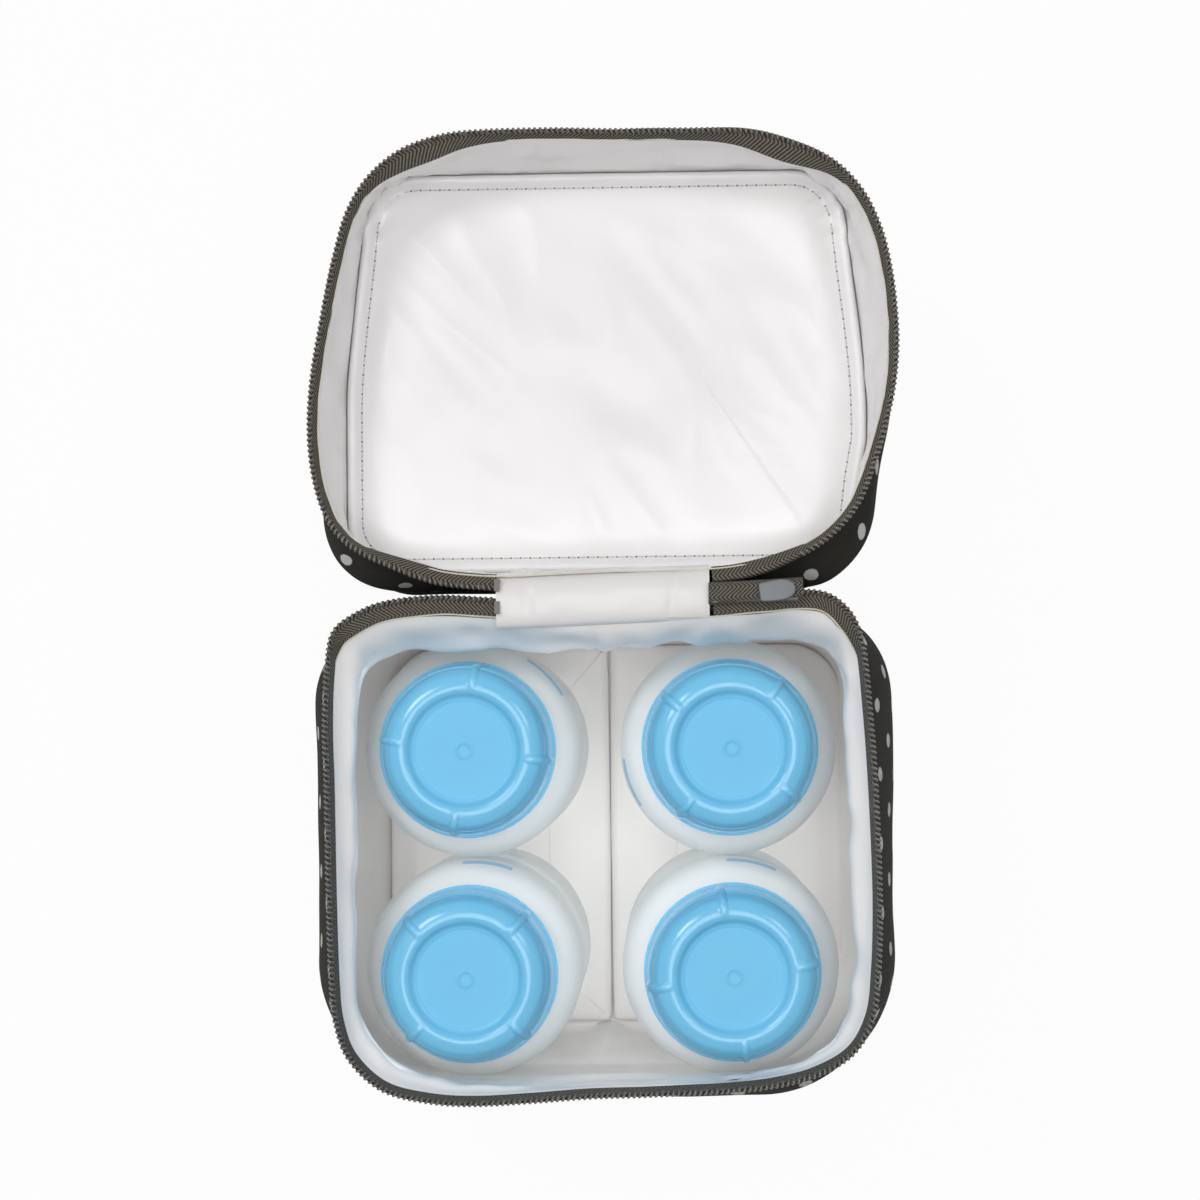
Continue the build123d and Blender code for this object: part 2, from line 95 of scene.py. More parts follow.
lamp("key_lamp", (-0.62, 0.55, 1.20), (0.0, 0.05, 0.10), 0.36, 4.4)
lamp("side_lamp", (0.60, 0.42, 1.20), (0.0, 0.02, 0.10), 0.30, 1.6)
lamp("overhead_lamp", (-0.010, 0.005, 0.82), (-0.005, 0.010, 0.0), 0.40, 2.2)
lamp("rim_fill", (-0.003, -0.002, 0.118), (-0.003, -0.002, 0.0), 0.122, 0.022, depth=0.104, hidden=True)
lamp("bag_fill", (-0.003, -0.001, 0.068), (-0.003, -0.001, 0.0), 0.110, 0.014, hidden=True)


def seen_share(tree):
    """1 for what the camera sees, mirrored or through clear plastic too, and else 0."""
    ray = tree.nodes.new("ShaderNodeLightPath")
    result = ray.outputs["Is Camera Ray"]
    for name in ("Is Glossy Ray", "Is Transmission Ray"):
        either = tree.nodes.new("ShaderNodeMath")
        either.operation = "MAXIMUM"
        tree.links.new(result, either.inputs[0])
        tree.links.new(ray.outputs[name], either.inputs[1])
        result = either.outputs["Value"]
    return result


surround = bpy.data.worlds.new("white_surround")
bpy.context.scene.world = surround
surround.use_nodes = True
sky = surround.node_tree
sky.nodes.clear()
plain = sky.nodes.new("ShaderNodeBackground")
plain.inputs["Color"].default_value = (1.0, 1.0, 1.0, 1.0)
plain.inputs["Strength"].default_value = 0.25
white = sky.nodes.new("ShaderNodeBackground")
white.inputs["Color"].default_value = (1.0, 1.0, 1.0, 1.0)
white.inputs["Strength"].default_value = 1.0
pick = sky.nodes.new("ShaderNodeMixShader")
shown = sky.nodes.new("ShaderNodeOutputWorld")
sky.links.new(seen_share(sky), pick.inputs["Fac"])
sky.links.new(plain.outputs["Background"], pick.inputs[1])
sky.links.new(white.outputs["Background"], pick.inputs[2])
sky.links.new(pick.outputs["Shader"], shown.inputs["Surface"])


# Floor: a wide sheet of white paper under the bag, which looks evenly white to the
# camera and keeps the bag's soft shadow.
bpy.ops.object.select_all(action="DESELECT")
bpy.ops.mesh.primitive_plane_add(size=12.0, location=(0.0, 0.0, -0.0004))
floor = bpy.context.active_object
floor.name = "floor"
bpy.ops.object.transform_apply(location=True, rotation=True, scale=True)
paper = bpy.data.materials.new("white_paper")
paper.use_nodes = True
tree = paper.node_tree
tree.nodes.clear()
matt = tree.nodes.new("ShaderNodeBsdfDiffuse")
matt.inputs["Color"].default_value = (0.92, 0.92, 0.92, 1.0)
glow = tree.nodes.new("ShaderNodeEmission")
glow.inputs["Color"].default_value = (1.0, 1.0, 1.0, 1.0)
glow.inputs["Strength"].default_value = 1.0
share = tree.nodes.new("ShaderNodeMath")
share.operation = "MULTIPLY"
share.inputs[1].default_value = 0.95
lit = tree.nodes.new("ShaderNodeMixShader")
drawn = tree.nodes.new("ShaderNodeOutputMaterial")
tree.links.new(seen_share(tree), share.inputs[0])
tree.links.new(share.outputs["Value"], lit.inputs["Fac"])
tree.links.new(matt.outputs["BSDF"], lit.inputs[1])
tree.links.new(glow.outputs["Emission"], lit.inputs[2])
tree.links.new(lit.outputs["Shader"], drawn.inputs["Surface"])
floor.data.materials.append(paper)


# Outer cover of the bag: charcoal ribbed polyester with small white dots, sewn as a
# band round a flat bottom, drawn in at the foot seam and again towards the zip.
bag_half_width = 78.72 * mm
bag_half_depth = 65.47 * mm
bag_shift = -1.1 * mm
back_corner = 24 * mm
front_corner = 38 * mm
foot_side_draw = 4.0 * mm
foot_front_draw = 0.8 * mm
foot_low, foot_high = 0.9, 28
collar_low, collar_high = 90, 118.4
cloth_thickness = 0.75 * mm
dot_spacing = 13.0 * mm
ring_count = 320


def even_line(points, count, closed=True):
    """Evenly spaced points along a line through some points, from the first of them."""
    row = [Vector(p) for p in points]
    if closed:
        row.append(row[0])
    reach = [0.0]
    for a, b in zip(row, row[1:]):
        reach.append(reach[-1] + (b - a).length)
    steps = count if closed else count - 1
    result = []
    at = 0
    for index in range(count):
        want = reach[-1] * index / steps
        while at < len(row) - 2 and reach[at + 1] < want:
            at += 1
        span = reach[at + 1] - reach[at]
        result.append(row[at].lerp(row[at + 1], (want - reach[at]) / span if span > 0.0 else 0.0))
    return result


def bag_plan(side_draw, front_draw, inset, count):
    """Outline of the bag at one height, from the middle of its back round by the left."""
    wide = bag_half_width - side_draw - inset
    low = -bag_half_depth + front_draw + inset
    high = bag_half_depth - inset
    back_radius = max(back_corner - inset - side_draw, 2 * mm)
    front_radius = max(front_corner - inset - side_draw, 2 * mm)
    corners = [
        (-wide + back_radius, high - back_radius, back_radius, 90),
        (-wide + front_radius, low + front_radius, front_radius, 180),
        (wide - front_radius, low + front_radius, front_radius, 270),
        (wide - back_radius, high - back_radius, back_radius, 0),
    ]
    points = [(0.0, high, 0.0)]
    for x, y, radius, start in corners:
        for step in range(25):
            angle = math.radians(start + 90 * step / 24)
            points.append((x + radius * math.cos(angle) + bag_shift, y + radius * math.sin(angle), 0.0))
    return even_line(points, count)


def draw_out(name, rings, closed=True, joined=False):
    """Adds a circle, lays it on the first ring and extrudes its edges from ring to ring."""
    count = len(rings[0])
    bpy.ops.object.select_all(action="DESELECT")
    bpy.ops.mesh.primitive_circle_add(vertices=count, radius=0.05, calc_uvs=False)
    made = bpy.context.active_object
    made.name = name
    made.data.name = name
    bpy.ops.object.mode_set(mode="EDIT")
    bpy.ops.mesh.select_mode(type="EDGE")
    work = bmesh.from_edit_mesh(made.data)
    work.verts.ensure_lookup_table()
    for vert, place in zip(work.verts, rings[0]):
        vert.co = place
    if not closed:
        bpy.ops.mesh.select_all(action="DESELECT")
        for edge in work.edges:
            if {edge.verts[0].index, edge.verts[1].index} == {0, count - 1}:
                edge.select_set(True)
        bmesh.update_edit_mesh(made.data)
        bpy.ops.mesh.delete(type="EDGE")
        bpy.ops.mesh.select_all(action="SELECT")
    for ring in rings[1:]:
        bpy.ops.mesh.extrude_edges_move()
        work = bmesh.from_edit_mesh(made.data)
        work.verts.ensure_lookup_table()
        for vert, place in zip(work.verts[-count:], ring):
            vert.co = place
        bmesh.update_edit_mesh(made.data)
    bpy.ops.object.mode_set(mode="OBJECT")
    lay_uv(made, rings, closed)
    if joined:
        tidy_faces(made, 0.02 * mm)
    return made


def lay_uv(piece, rings, closed):
    """Flat cloth coordinates in metres, round the piece and up from ring to ring.

    A closed band is eased so that the printed dots meet at its seam.
    """
    count = len(rings[0])
    dot_repeat = dot_spacing * math.sqrt(2)
    around = [0.0]
    longest = max(rings, key=lambda ring: sum((b - a).length for a, b in zip(ring, ring[1:])))
    for a, b in zip(longest, longest[1:] + longest[:1]):
        around.append(around[-1] + (b - a).length)
    if closed:
        fit = max(round(around[-1] / dot_repeat), 1) * dot_repeat / around[-1]
        around = [reach * fit for reach in around]
    along = [0.0]
    for low, high in zip(rings, rings[1:]):
        along.append(along[-1] + sum((b - a).length for a, b in zip(low, high)) / count)
    sheet_map = piece.data.uv_layers.new(name="cloth")
    for face in piece.data.polygons:
        places = [piece.data.loops[loop].vertex_index % count for loop in face.loop_indices]
        wraps = closed and max(places) - min(places) > count / 2
        for loop, place in zip(face.loop_indices, places):
            level = piece.data.loops[loop].vertex_index // count
            turn = around[count] if wraps and place == 0 else around[place]
            sheet_map.data[loop].uv = (turn, along[level])


def lay_plan_uv(piece, height):
    """Cloth coordinates in plan for the flat end panel below a height."""
    sheet_map = piece.data.uv_layers["cloth"]
    for face in piece.data.polygons:
        corners = [piece.data.vertices[index].co for index in face.vertices]
        if max(corner.z for corner in corners) < height:
            for loop, corner in zip(face.loop_indices, corners):
                sheet_map.data[loop].uv = (corner.x, corner.y)


def take_up(*pieces):
    """Selects some pieces and nothing else, the first of them active."""
    bpy.ops.object.select_all(action="DESELECT")
    bpy.context.view_layer.objects.active = pieces[0]
    for piece in pieces:
        piece.select_set(True)


def tidy_faces(piece, distance=0.01 * mm):
    """Merges doubles and turns every face outwards."""
    take_up(piece)
    bpy.ops.object.mode_set(mode="EDIT")
    bpy.ops.mesh.select_mode(type="VERT")
    bpy.ops.mesh.select_all(action="SELECT")
    bpy.ops.mesh.remove_doubles(threshold=distance)
    bpy.ops.mesh.normals_make_consistent(inside=False)
    bpy.ops.object.mode_set(mode="OBJECT")


def thicken(piece, thickness, offset, angle=40):
    """Gives a sheet its thickness, then its smooth shading."""
    take_up(piece)
    wall = piece.modifiers.new("wall", "SOLIDIFY")
    wall.thickness = thickness
    wall.offset = offset
    wall.use_even_offset = False
    bpy.ops.object.modifier_apply(modifier="wall")
    bpy.ops.object.shade_smooth_by_angle(angle=math.radians(angle))


def ripple(place, scale, seed):
    """Smooth unevenness of soft goods, from -1 to 1."""
    return noise.noise(Vector(place) / scale + Vector((seed, 2.0 * seed, -seed)))


def smooth_line(corners, count):
    """Evenly spaced points on a closed smooth line through some points in plan."""
    row = [Vector((x * mm, y * mm, 0.0)) for x, y in corners]
    fine = []
    for index in range(len(row)):
        a, b, c, d = (row[(index + step) % len(row)] for step in (-1, 0, 1, 2))
        for step in range(12):
            t = step / 12
            square = (2 * a - 5 * b + 4 * c - d) * t**2
            fine.append(0.5 * (2 * b + (c - a) * t + square + (3 * b - a - 3 * c + d) * t**3))
    return even_line(fine, count)


def inset_line(line, distance):
    """The same closed line set in by a distance, which may differ from point to point."""
    count = len(line)
    area = sum(a.x * b.y - b.x * a.y for a, b in zip(line, line[1:] + line[:1]))
    way = 1 if area > 0 else -1
    result = []
    for index, p in enumerate(line):
        along = (line[(index + 1) % count] - line[index - 1]).normalized()
        step = distance[index] if isinstance(distance, list) else distance
        result.append(p + Vector((-along.y, along.x, 0.0)) * way * step)
    return result


def ease(value, low, high):
    """Smooth rise from 0 at low to 1 at high."""
    share = min(max((value - low) / (high - low), 0.0), 1.0)
    return share * share * (3 - 2 * share)


def between(first, second, share):
    """The line that lies a share of the way from one line to another."""
    return [a.lerp(b, share) for a, b in zip(first, second)]


def at_height(line, z):
    """The same line, level, at a height."""
    return [Vector((p.x, p.y, z)) for p in line]


# The zip's outermost edge round the bag's mouth, which the rest of the rim follows.
rim_corners = [
    (0, 67.4), (-14, 67.6), (-28.5, 67.9), (-41.4, 68.7), (-51.8, 68.2), (-59.3, 66.8),
    (-64.6, 64.6), (-69.3, 61.6), (-71.4, 58.8), (-72.3, 55.6), (-72.9, 50), (-73.4, 41.8),
    (-73.5, 31.5), (-73.2, 21.2), (-73.0, 8), (-72.8, -6), (-72.5, -20), (-72.1, -31), (-71.1, -41),
    (-67.5, -50.6), (-58.8, -58.6), (-46.8, -61.8), (-34.8, -62.6), (-20, -61.9), (-5.4, -60.9),
    (8, -60.6), (20.9, -60.1), (31, -59.6), (42, -58.4), (53, -55.6), (62.6, -49.9), (67.8, -40.4),
    (69.4, -28), (70.0, -14), (69.9, 0), (69.5, 14), (68.9, 27.5), (68.2, 38), (67.3, 49.5),
    (66.4, 55.4), (64.6, 61.2), (61.0, 65.8), (56, 68.6), (48, 69.2), (40, 68.4), (27, 67.7),
    (14, 67.4),
]
mouth = smooth_line(rim_corners, ring_count)
cover_rings = []
for inset in (50, 40, 28, 16, 8, 3, 1.0):
    bottom = bag_plan(foot_side_draw, foot_front_draw, inset * mm, ring_count)
    cover_rings.append(at_height(bottom, 0.25 * mm))
heights = [0.5, 1.2, 2.6, 4.6, 7.5, 11, 15, 20, 25] + [30 + 6 * step for step in range(11)]
heights += [95, 99, 103, 106.5, 109.5, 112, 114, 115.8, 117.2, 118.3]
for height in heights:
    foot = max(1 - (height - foot_low) / (foot_high - foot_low), 0.0) ** 2
    collar = max((height - collar_low) / (collar_high - collar_low), 0.0) ** 1.5
    plan = bag_plan(foot_side_draw * foot, foot_front_draw * foot, 0.0, ring_count)
    ring = []
    for wall, rim in zip(plan, inset_line(mouth, 1.5 * mm)):
        wall.x -= 1.3 * mm * ease(wall.x, 40 * mm, 70 * mm)
        drawn = collar ** (1.0 - 0.5 * ease(-wall.y, 25 * mm, 60 * mm))
        ring.append(wall + drawn * (rim - wall))
    soft = min(height / 25, 1.0) * min((121 - height) / 20, 1.0)
    moves = []
    for p in ring:
        swell = 0.9 * ripple((p.x, p.y, 0.6 * height * mm), 46 * mm, 3.1)
        swell += 0.35 * ripple((p.x, p.y, height * mm), 17 * mm, 8.4)
        pucker = 0.30 * collar * ripple((p.x, p.y, 0.0), 7 * mm, 5.7)
        moves.append(-(swell * soft + pucker - 0.15) * mm)
    cover_rings.append(at_height(inset_line(ring, moves), height * mm))
bag_cover = draw_out("bag_cover", cover_rings)


def close_end(piece, first, count, seam=0.0):
    """Fills the opening that a run of corners goes round, or joins its sides in a seam."""
    take_up(piece)
    bpy.ops.object.mode_set(mode="EDIT")
    bpy.ops.mesh.select_mode(type="VERT")
    bpy.ops.mesh.select_all(action="DESELECT")
    work = bmesh.from_edit_mesh(piece.data)
    work.verts.ensure_lookup_table()
    for vert in work.verts[first : first + count]:
        vert.select_set(True)
    work.select_flush(True)
    bmesh.update_edit_mesh(piece.data)
    if seam:
        bpy.ops.mesh.remove_doubles(threshold=seam)
    else:
        bpy.ops.mesh.edge_face_add()
    bpy.ops.object.mode_set(mode="OBJECT")


def close_both(piece, count, levels):
    """Fills the openings at the two ends of a piece drawn out of so many corners."""
    for first in (0, count * (levels - 1)):
        close_end(piece, first, count)


close_end(bag_cover, 0, ring_count)
lay_plan_uv(bag_cover, 0.4 * mm)
tidy_faces(bag_cover)
thicken(bag_cover, cloth_thickness, -1.0)


def new_material(name):
    """An empty material, its node tree and its shader."""
    made = bpy.data.materials.new(name)
    made.use_nodes = True
    return made, made.node_tree, made.node_tree.nodes["Principled BSDF"]


def add_node(tree, kind, inputs=None, **facts):
    """One node of a material, with its settings and what goes into it."""
    node = tree.nodes.new(kind)
    for key, value in facts.items():
        setattr(node, key, value)
    for key, value in (inputs or {}).items():
        if isinstance(value, bpy.types.NodeSocket):
            tree.links.new(value, node.inputs[key])
        else:
            node.inputs[key].default_value = value
    return node


def count_up(tree, way, first, second=0.0, third=0.0):
    """One step of arithmetic between values or sockets."""
    return add_node(tree, "ShaderNodeMath", {0: first, 1: second, 2: third}, operation=way).outputs[0]


def mixed(tree, share, first, second):
    """Colour between two colours."""
    inputs = {0: share}
    for slot, value in ((6, first), (7, second)):
        inputs[slot] = value + (1.0,) if isinstance(value, tuple) else value
    return add_node(tree, "ShaderNodeMix", inputs, data_type="RGBA").outputs[2]


def tinted(tree, shader, share, first, second):
    """Gives a surface its colour, between two colours."""
    tree.links.new(mixed(tree, share, first, second), shader.inputs["Base Color"])


def raised(tree, shader, height, strength, distance):
    """Gives a surface a fine relief."""
    relief = {"Height": height, "Strength": strength, "Distance": distance}
    bump = add_node(tree, "ShaderNodeBump", relief)
    tree.links.new(bump.outputs["Normal"], shader.inputs["Normal"])


dotted_cloth, tree, shader = new_material("charcoal_dotted_cloth")
flat = add_node(tree, "ShaderNodeTexCoord").outputs["UV"]
parts = add_node(tree, "ShaderNodeSeparateXYZ", {0: flat})
rib_u = count_up(tree, "MULTIPLY", parts.outputs["X"], 2 * math.pi / (0.85 * mm))
rib_v = count_up(tree, "MULTIPLY", parts.outputs["Y"], 2 * math.pi / (0.62 * mm))
ribs_u = count_up(tree, "ABSOLUTE", count_up(tree, "SINE", rib_u))
ribs_v = count_up(tree, "ABSOLUTE", count_up(tree, "SINE", rib_v))
weave = count_up(tree, "MULTIPLY", ribs_u, ribs_v)
diagonal = (0.0, 0.0, math.radians(45.0))
turned = add_node(tree, "ShaderNodeMapping", {"Vector": flat, "Rotation": diagonal})
dots = add_node(
    tree, "ShaderNodeTexVoronoi",
    {"Vector": turned.outputs[0], "Scale": 1 / dot_spacing, "Randomness": 0.0},
    voronoi_dimensions="2D", feature="F1",
)
fuzz = add_node(
    tree, "ShaderNodeTexNoise", {"Vector": flat, "Scale": 2600.0, "Detail": 2.0}, noise_dimensions="2D",
)
edge = count_up(tree, "MULTIPLY_ADD", fuzz.outputs["Fac"], 0.035, dots.outputs["Distance"])
dot = add_node(tree, "ShaderNodeMapRange", {"Value": edge, "From Min": 0.150, "From Max": 0.172})
dot_share = count_up(tree, "SUBTRACT", 1.0, dot.outputs["Result"])
blotch = add_node(
    tree, "ShaderNodeTexNoise", {"Vector": flat, "Scale": 70.0, "Detail": 4.0}, noise_dimensions="2D",
)
thread = mixed(tree, weave, (0.009, 0.0088, 0.0075), (0.042, 0.040, 0.034))
wear = count_up(tree, "MULTIPLY", blotch.outputs["Fac"], 0.35)
worn = mixed(tree, wear, thread, (0.060, 0.057, 0.048))
white_ink = mixed(tree, weave, (0.52, 0.52, 0.50), (0.80, 0.80, 0.78))
tinted(tree, shader, dot_share, worn, white_ink)
shader.inputs["Roughness"].default_value = 0.85
shader.inputs["Specular IOR Level"].default_value = 0.10
shader.inputs["Sheen Weight"].default_value = 0.02
raised(tree, shader, weave, 0.55, 0.16 * mm)
bag_cover.data.materials.append(dotted_cloth)
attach(bag_cover, "base")
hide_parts("base_outer_wall", "base_outer_bottom")


# Foam between the cover and the lining of the bag's wall: one closed sheet that stops
# below the zip, where the wall thins to its seam.
foam_outer = [at_height(inset_line(ring, 1.0 * mm), ring[0].z) for ring in cover_rings[9:-2]]
foam_inner = []
for ring in foam_outer:
    z = ring[0].z
    thin = 3.4 * mm - 2.9 * mm * ease(z, 92 * mm, 116 * mm)
    foam_inner.append(at_height(inset_line(ring, thin), z))
bag_padding = draw_out("bag_padding", foam_outer + foam_inner[::-1] + foam_outer[:1], joined=True)
bpy.ops.object.shade_smooth_by_angle(angle=math.radians(50))
foam_white, tree, shader = new_material("white_foam")
place = add_node(tree, "ShaderNodeTexCoord").outputs["Object"]
cells = add_node(tree, "ShaderNodeTexVoronoi", {"Vector": place, "Scale": 900.0}).outputs["Distance"]
tinted(tree, shader, cells, (0.55, 0.55, 0.53), (0.80, 0.80, 0.78))
shader.inputs["Roughness"].default_value = 0.95
raised(tree, shader, cells, 0.5, 0.4 * mm)
bag_padding.data.materials.append(foam_white)
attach(bag_padding, "base")
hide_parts("base_wall_foam")


# Lining of the bag: one loose skin of glossy white film, sewn in at the zip, which
# hangs over in a soft fold at the back and sides and then drops to the floor.
def ring_at(rings, z):
    """The closed line at a height between rings that lie above each other."""
    for low, high in zip(rings, rings[1:]):
        if low[0].z <= z <= high[0].z and high[0].z > low[0].z:
            return between(low, high, (z - low[0].z) / (high[0].z - low[0].z))
    return rings[-1]


def keep_inside(line, wall, gap):
    """Moves the points of a line that lie nearer than a gap to the wall round it inwards."""
    inner = inset_line(wall, 1.0 * mm)
    for p in line:
        away = [(corner.x - p.x) ** 2 + (corner.y - p.y) ** 2 for corner in wall]
        near = away.index(min(away))
        inward = Vector((inner[near].x - wall[near].x, inner[near].y - wall[near].y)).normalized()
        short = gap - (p.xy - wall[near].xy).dot(inward)
        if short > 0.0:
            p.x += inward.x * short
            p.y += inward.y * short


def hump(value, middle, width):
    """1 at the middle, falling softly to 0 on both sides of it."""
    return math.exp(-(((value - middle) / width) ** 2))


def crease(place, scale, seed):
    """0 along winding lines, which make sharp soft folds, and up to 2 between them."""
    return abs(ripple(place, scale, seed)) * 2.0


def spine_of(line, reach, y):
    """A line drawn together on a straight spine that reaches equally far left and right."""
    return [Vector((min(max(p.x, -reach), reach), y, 0.0)) for p in line]


film_thickness = 0.32 * mm
fold_corners = [
    (0, 53.9), (-20, 55.0), (-40, 55.2), (-54, 54.6), (-61.8, 51.5), (-64.6, 42), (-65.6, 20),
    (-66.2, -8), (-66.2, -32), (-63.8, -43), (-57, -52.0), (-46, -56.8), (-30, -58.8), (-3, -58.0),
    (25, -57.2), (42, -55.4), (54, -51.0), (60.6, -43), (63.0, -32), (62.6, -8), (62.0, 20),
    (61.4, 40), (59.4, 51.5), (51, 56.0), (36, 56.0), (20, 55.6),
]
fold_line = smooth_line(fold_corners, ring_count)
flap = [ease(p.y, 48 * mm, 63 * mm) for p in mouth]
lining_top = inset_line(mouth, [(2.15 + 3.4 * share) * mm for share in flap])
lining_low = bag_plan(0.0, 0.0, 5.6 * mm, ring_count)
lining_foot = bag_plan(foot_side_draw, foot_front_draw, 5.7 * mm, ring_count)
# height, shares of the way to the fold, to the wall below it and to the foot, and the hem
lining_steps = [
    (126.0, 0.0, 0.0, 0.0, 0.35), (125.4, 0.03, 0.0, 0.0, 0.0), (124.7, 0.13, 0.0, 0.0, 0.0),
    (123.8, 0.27, 0.0, 0.0, 0.0), (122.7, 0.43, 0.0, 0.0, 0.0), (121.4, 0.60, 0.0, 0.0, 0.0),
    (119.9, 0.76, 0.0, 0.0, 0.0), (118.3, 0.89, 0.0, 0.0, 0.0), (116.7, 0.97, 0.0, 0.0, 0.0),
    (115.2, 1.0, 0.02, 0.0, 0.0), (113.7, 1.0, 0.07, 0.0, 0.0), (111.8, 1.0, 0.15, 0.0, 0.0),
    (109.3, 1.0, 0.27, 0.0, 0.0), (106.3, 1.0, 0.42, 0.0, 0.0), (102.6, 1.0, 0.58, 0.0, 0.0),
    (98.2, 1.0, 0.74, 0.0, 0.0), (93.2, 1.0, 0.87, 0.0, 0.0), (88.0, 1.0, 0.96, 0.0, 0.0),
    (82.5, 1.0, 1.0, 0.0, 0.0), (76.0, 1.0, 1.0, 0.02, 0.0), (67.0, 1.0, 1.0, 0.05, 0.0),
    (58.0, 1.0, 1.0, 0.12, 0.0), (49.0, 1.0, 1.0, 0.22, 0.0), (40.0, 1.0, 1.0, 0.36, 0.0),
    (32.0, 1.0, 1.0, 0.52, 0.0), (25.0, 1.0, 1.0, 0.68, 0.0), (19.0, 1.0, 1.0, 0.82, 0.0),
    (14.0, 1.0, 1.0, 0.93, 0.0), (10.0, 1.0, 1.0, 1.0, 0.0), (7.6, 1.0, 1.0, 1.0, -0.6),
    (6.4, 1.0, 1.0, 1.0, -1.6),
]
lining_rings = []
for height, to_fold, to_low, to_foot, hem in lining_steps:
    ring = between(lining_top, fold_line, to_fold)
    ring = between(between(ring, lining_low, to_low), lining_foot, to_foot)
    fade = ease(height, 6.0, 24.0)
    hang = ease(height, 98.0, 112.0) * ease(126.5 - height, 0.5, 6.0)
    moves = []
    for p, share in zip(ring, flap):
        wave = 0.5 * ripple((p.x, p.y, 0.45 * height * mm), 26 * mm, 1.7)
        wave += 0.22 * ripple((p.x, p.y, 0.8 * height * mm), 9 * mm, 6.2)
        sway = hang * (1.5 * ripple((p.x, p.y, 1.6 * height * mm), 15 * mm, 11.5) - 0.1)
        sway += hang * 1.2 * (0.5 - crease((p.x, p.y, 0.9 * height * mm), 12 * mm, 7.9))
        seam = 1.1 * hang * share * hump(p.x, -3 * mm, 1.1 * mm)
        bulge = 0.0
        if p.y < 0 and height < 60:
            bulge = 2.6 * hump(p.x, -2.7 * mm, 5.5 * mm) * ease(60 - height, 0.0, 40.0)
        moves.append((0.25 + wave * fade + sway * (0.5 + 0.8 * share) - seam + bulge - hem) * mm)
    placed = inset_line(ring, moves)
    if 8.0 < height < 117.0:
        depth = 5.1 - 3.2 * ease(height, 92.0, 116.0)
        keep_inside(placed, ring_at(cover_rings, height * mm), depth * mm)
    for p, share in zip(placed, flap):
        p.z = height * mm
        lift = ease(height, 108.0, 115.0) * (1 - ease(height, 118.5, 124.5))
        p.z += share * lift * (2.2 * ripple((p.x, 0.0, 0.0), 21 * mm, 4.4) - 3.2) * mm
        rise = ease(height, 117.0, 125.0)
        p.z -= rise * (1 - share) * 3.4 * mm
    lining_rings.append(placed)
lining_spine = spine_of(lining_foot, 12 * mm, 0.0)
for share in (0.06, 0.3, 0.6, 0.9):
    lining_rings.append(at_height(between(lining_foot, lining_spine, share), 6.25 * mm))
bag_lining = draw_out("bag_lining", lining_rings)
close_end(bag_lining, ring_count * (len(lining_rings) - 1), ring_count)
tidy_faces(bag_lining)
thicken(bag_lining, film_thickness, -1.0, angle=60)


def film(name, tint, seed):
    """Glossy white film: faint blotches, long soft creases and a fine embossed grain."""
    made, tree, shader = new_material(name)
    place = add_node(tree, "ShaderNodeTexCoord").outputs["Object"]
    cloud = add_node(tree, "ShaderNodeTexNoise", {"Vector": place, "Scale": 24.0 + seed, "Detail": 3.0})
    dull = tuple(0.90 * part for part in tint)
    tinted(tree, shader, cloud.outputs["Fac"], dull, tint)
    shader.inputs["Roughness"].default_value = 0.34
    shader.inputs["Specular IOR Level"].default_value = 0.45
    shader.inputs["Subsurface Weight"].default_value = 0.08
    shader.inputs["Subsurface Radius"].default_value = (0.004, 0.004, 0.004)
    stretched = add_node(
        tree, "ShaderNodeMapping",
        {"Vector": place, "Rotation": (0.3, 0.5, 0.8 + seed), "Scale": (1.0, 2.8, 1.6)},
    )
    creases = add_node(
        tree, "ShaderNodeTexNoise",
        {"Vector": stretched.outputs[0], "Scale": 20.0, "Detail": 3.0, "Distortion": 0.7},
    )
    grain = add_node(tree, "ShaderNodeTexNoise", {"Vector": place, "Scale": 1500.0, "Detail": 1.0})
    height = count_up(tree, "MULTIPLY_ADD", grain.outputs["Fac"], 0.035, creases.outputs["Fac"])
    raised(tree, shader, height, 0.20, 1.6 * mm)
    return made


# A lighter and warmer copy of the lid's white film: painted light for the inside of the bag and its
# pad, which the lamps reach less.
inner_film_painted_light = film("inner_film_painted_light", (0.945, 0.915, 0.900), 0.0)
bag_lining.data.materials.append(inner_film_painted_light)
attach(bag_lining, "base")
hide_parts("base_wall_lining", "base_floor_lining")


# Thin yellowish cut edge of the lining, caught by the zip's inner row of stitches and
# standing a quarter of a millimetre above it.
def cut_edge(name, hem_line):
    """Narrow strip outside a hem and a little higher."""
    high = inset_line(hem_line, -0.28 * mm)
    high = [Vector((p.x, p.y, old.z + 0.25 * mm)) for p, old in zip(high, hem_line)]
    made = draw_out(name, [[p.copy() for p in hem_line], high])
    thicken(made, 0.22 * mm, 0.0)
    return made


def speckled(name, scale, detail, dark, light, roughness):
    """Material mottled finely between two colours all through; also gives its mottling."""
    made, tree, shader = new_material(name)
    place = add_node(tree, "ShaderNodeTexCoord").outputs["Object"]
    speck = add_node(tree, "ShaderNodeTexNoise", {"Vector": place, "Scale": scale, "Detail": detail})
    tinted(tree, shader, speck.outputs["Fac"], dark, light)
    shader.inputs["Roughness"].default_value = roughness
    return made, tree, shader, speck.outputs["Fac"]


bag_cut_edge = cut_edge("bag_cut_edge", lining_rings[0])
cream = speckled("cream_cut_edge", 300.0, 2.0, (0.58, 0.53, 0.40), (0.80, 0.77, 0.66), 0.6)[0]
bag_cut_edge.data.materials.append(cream)
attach(bag_cut_edge, "base")


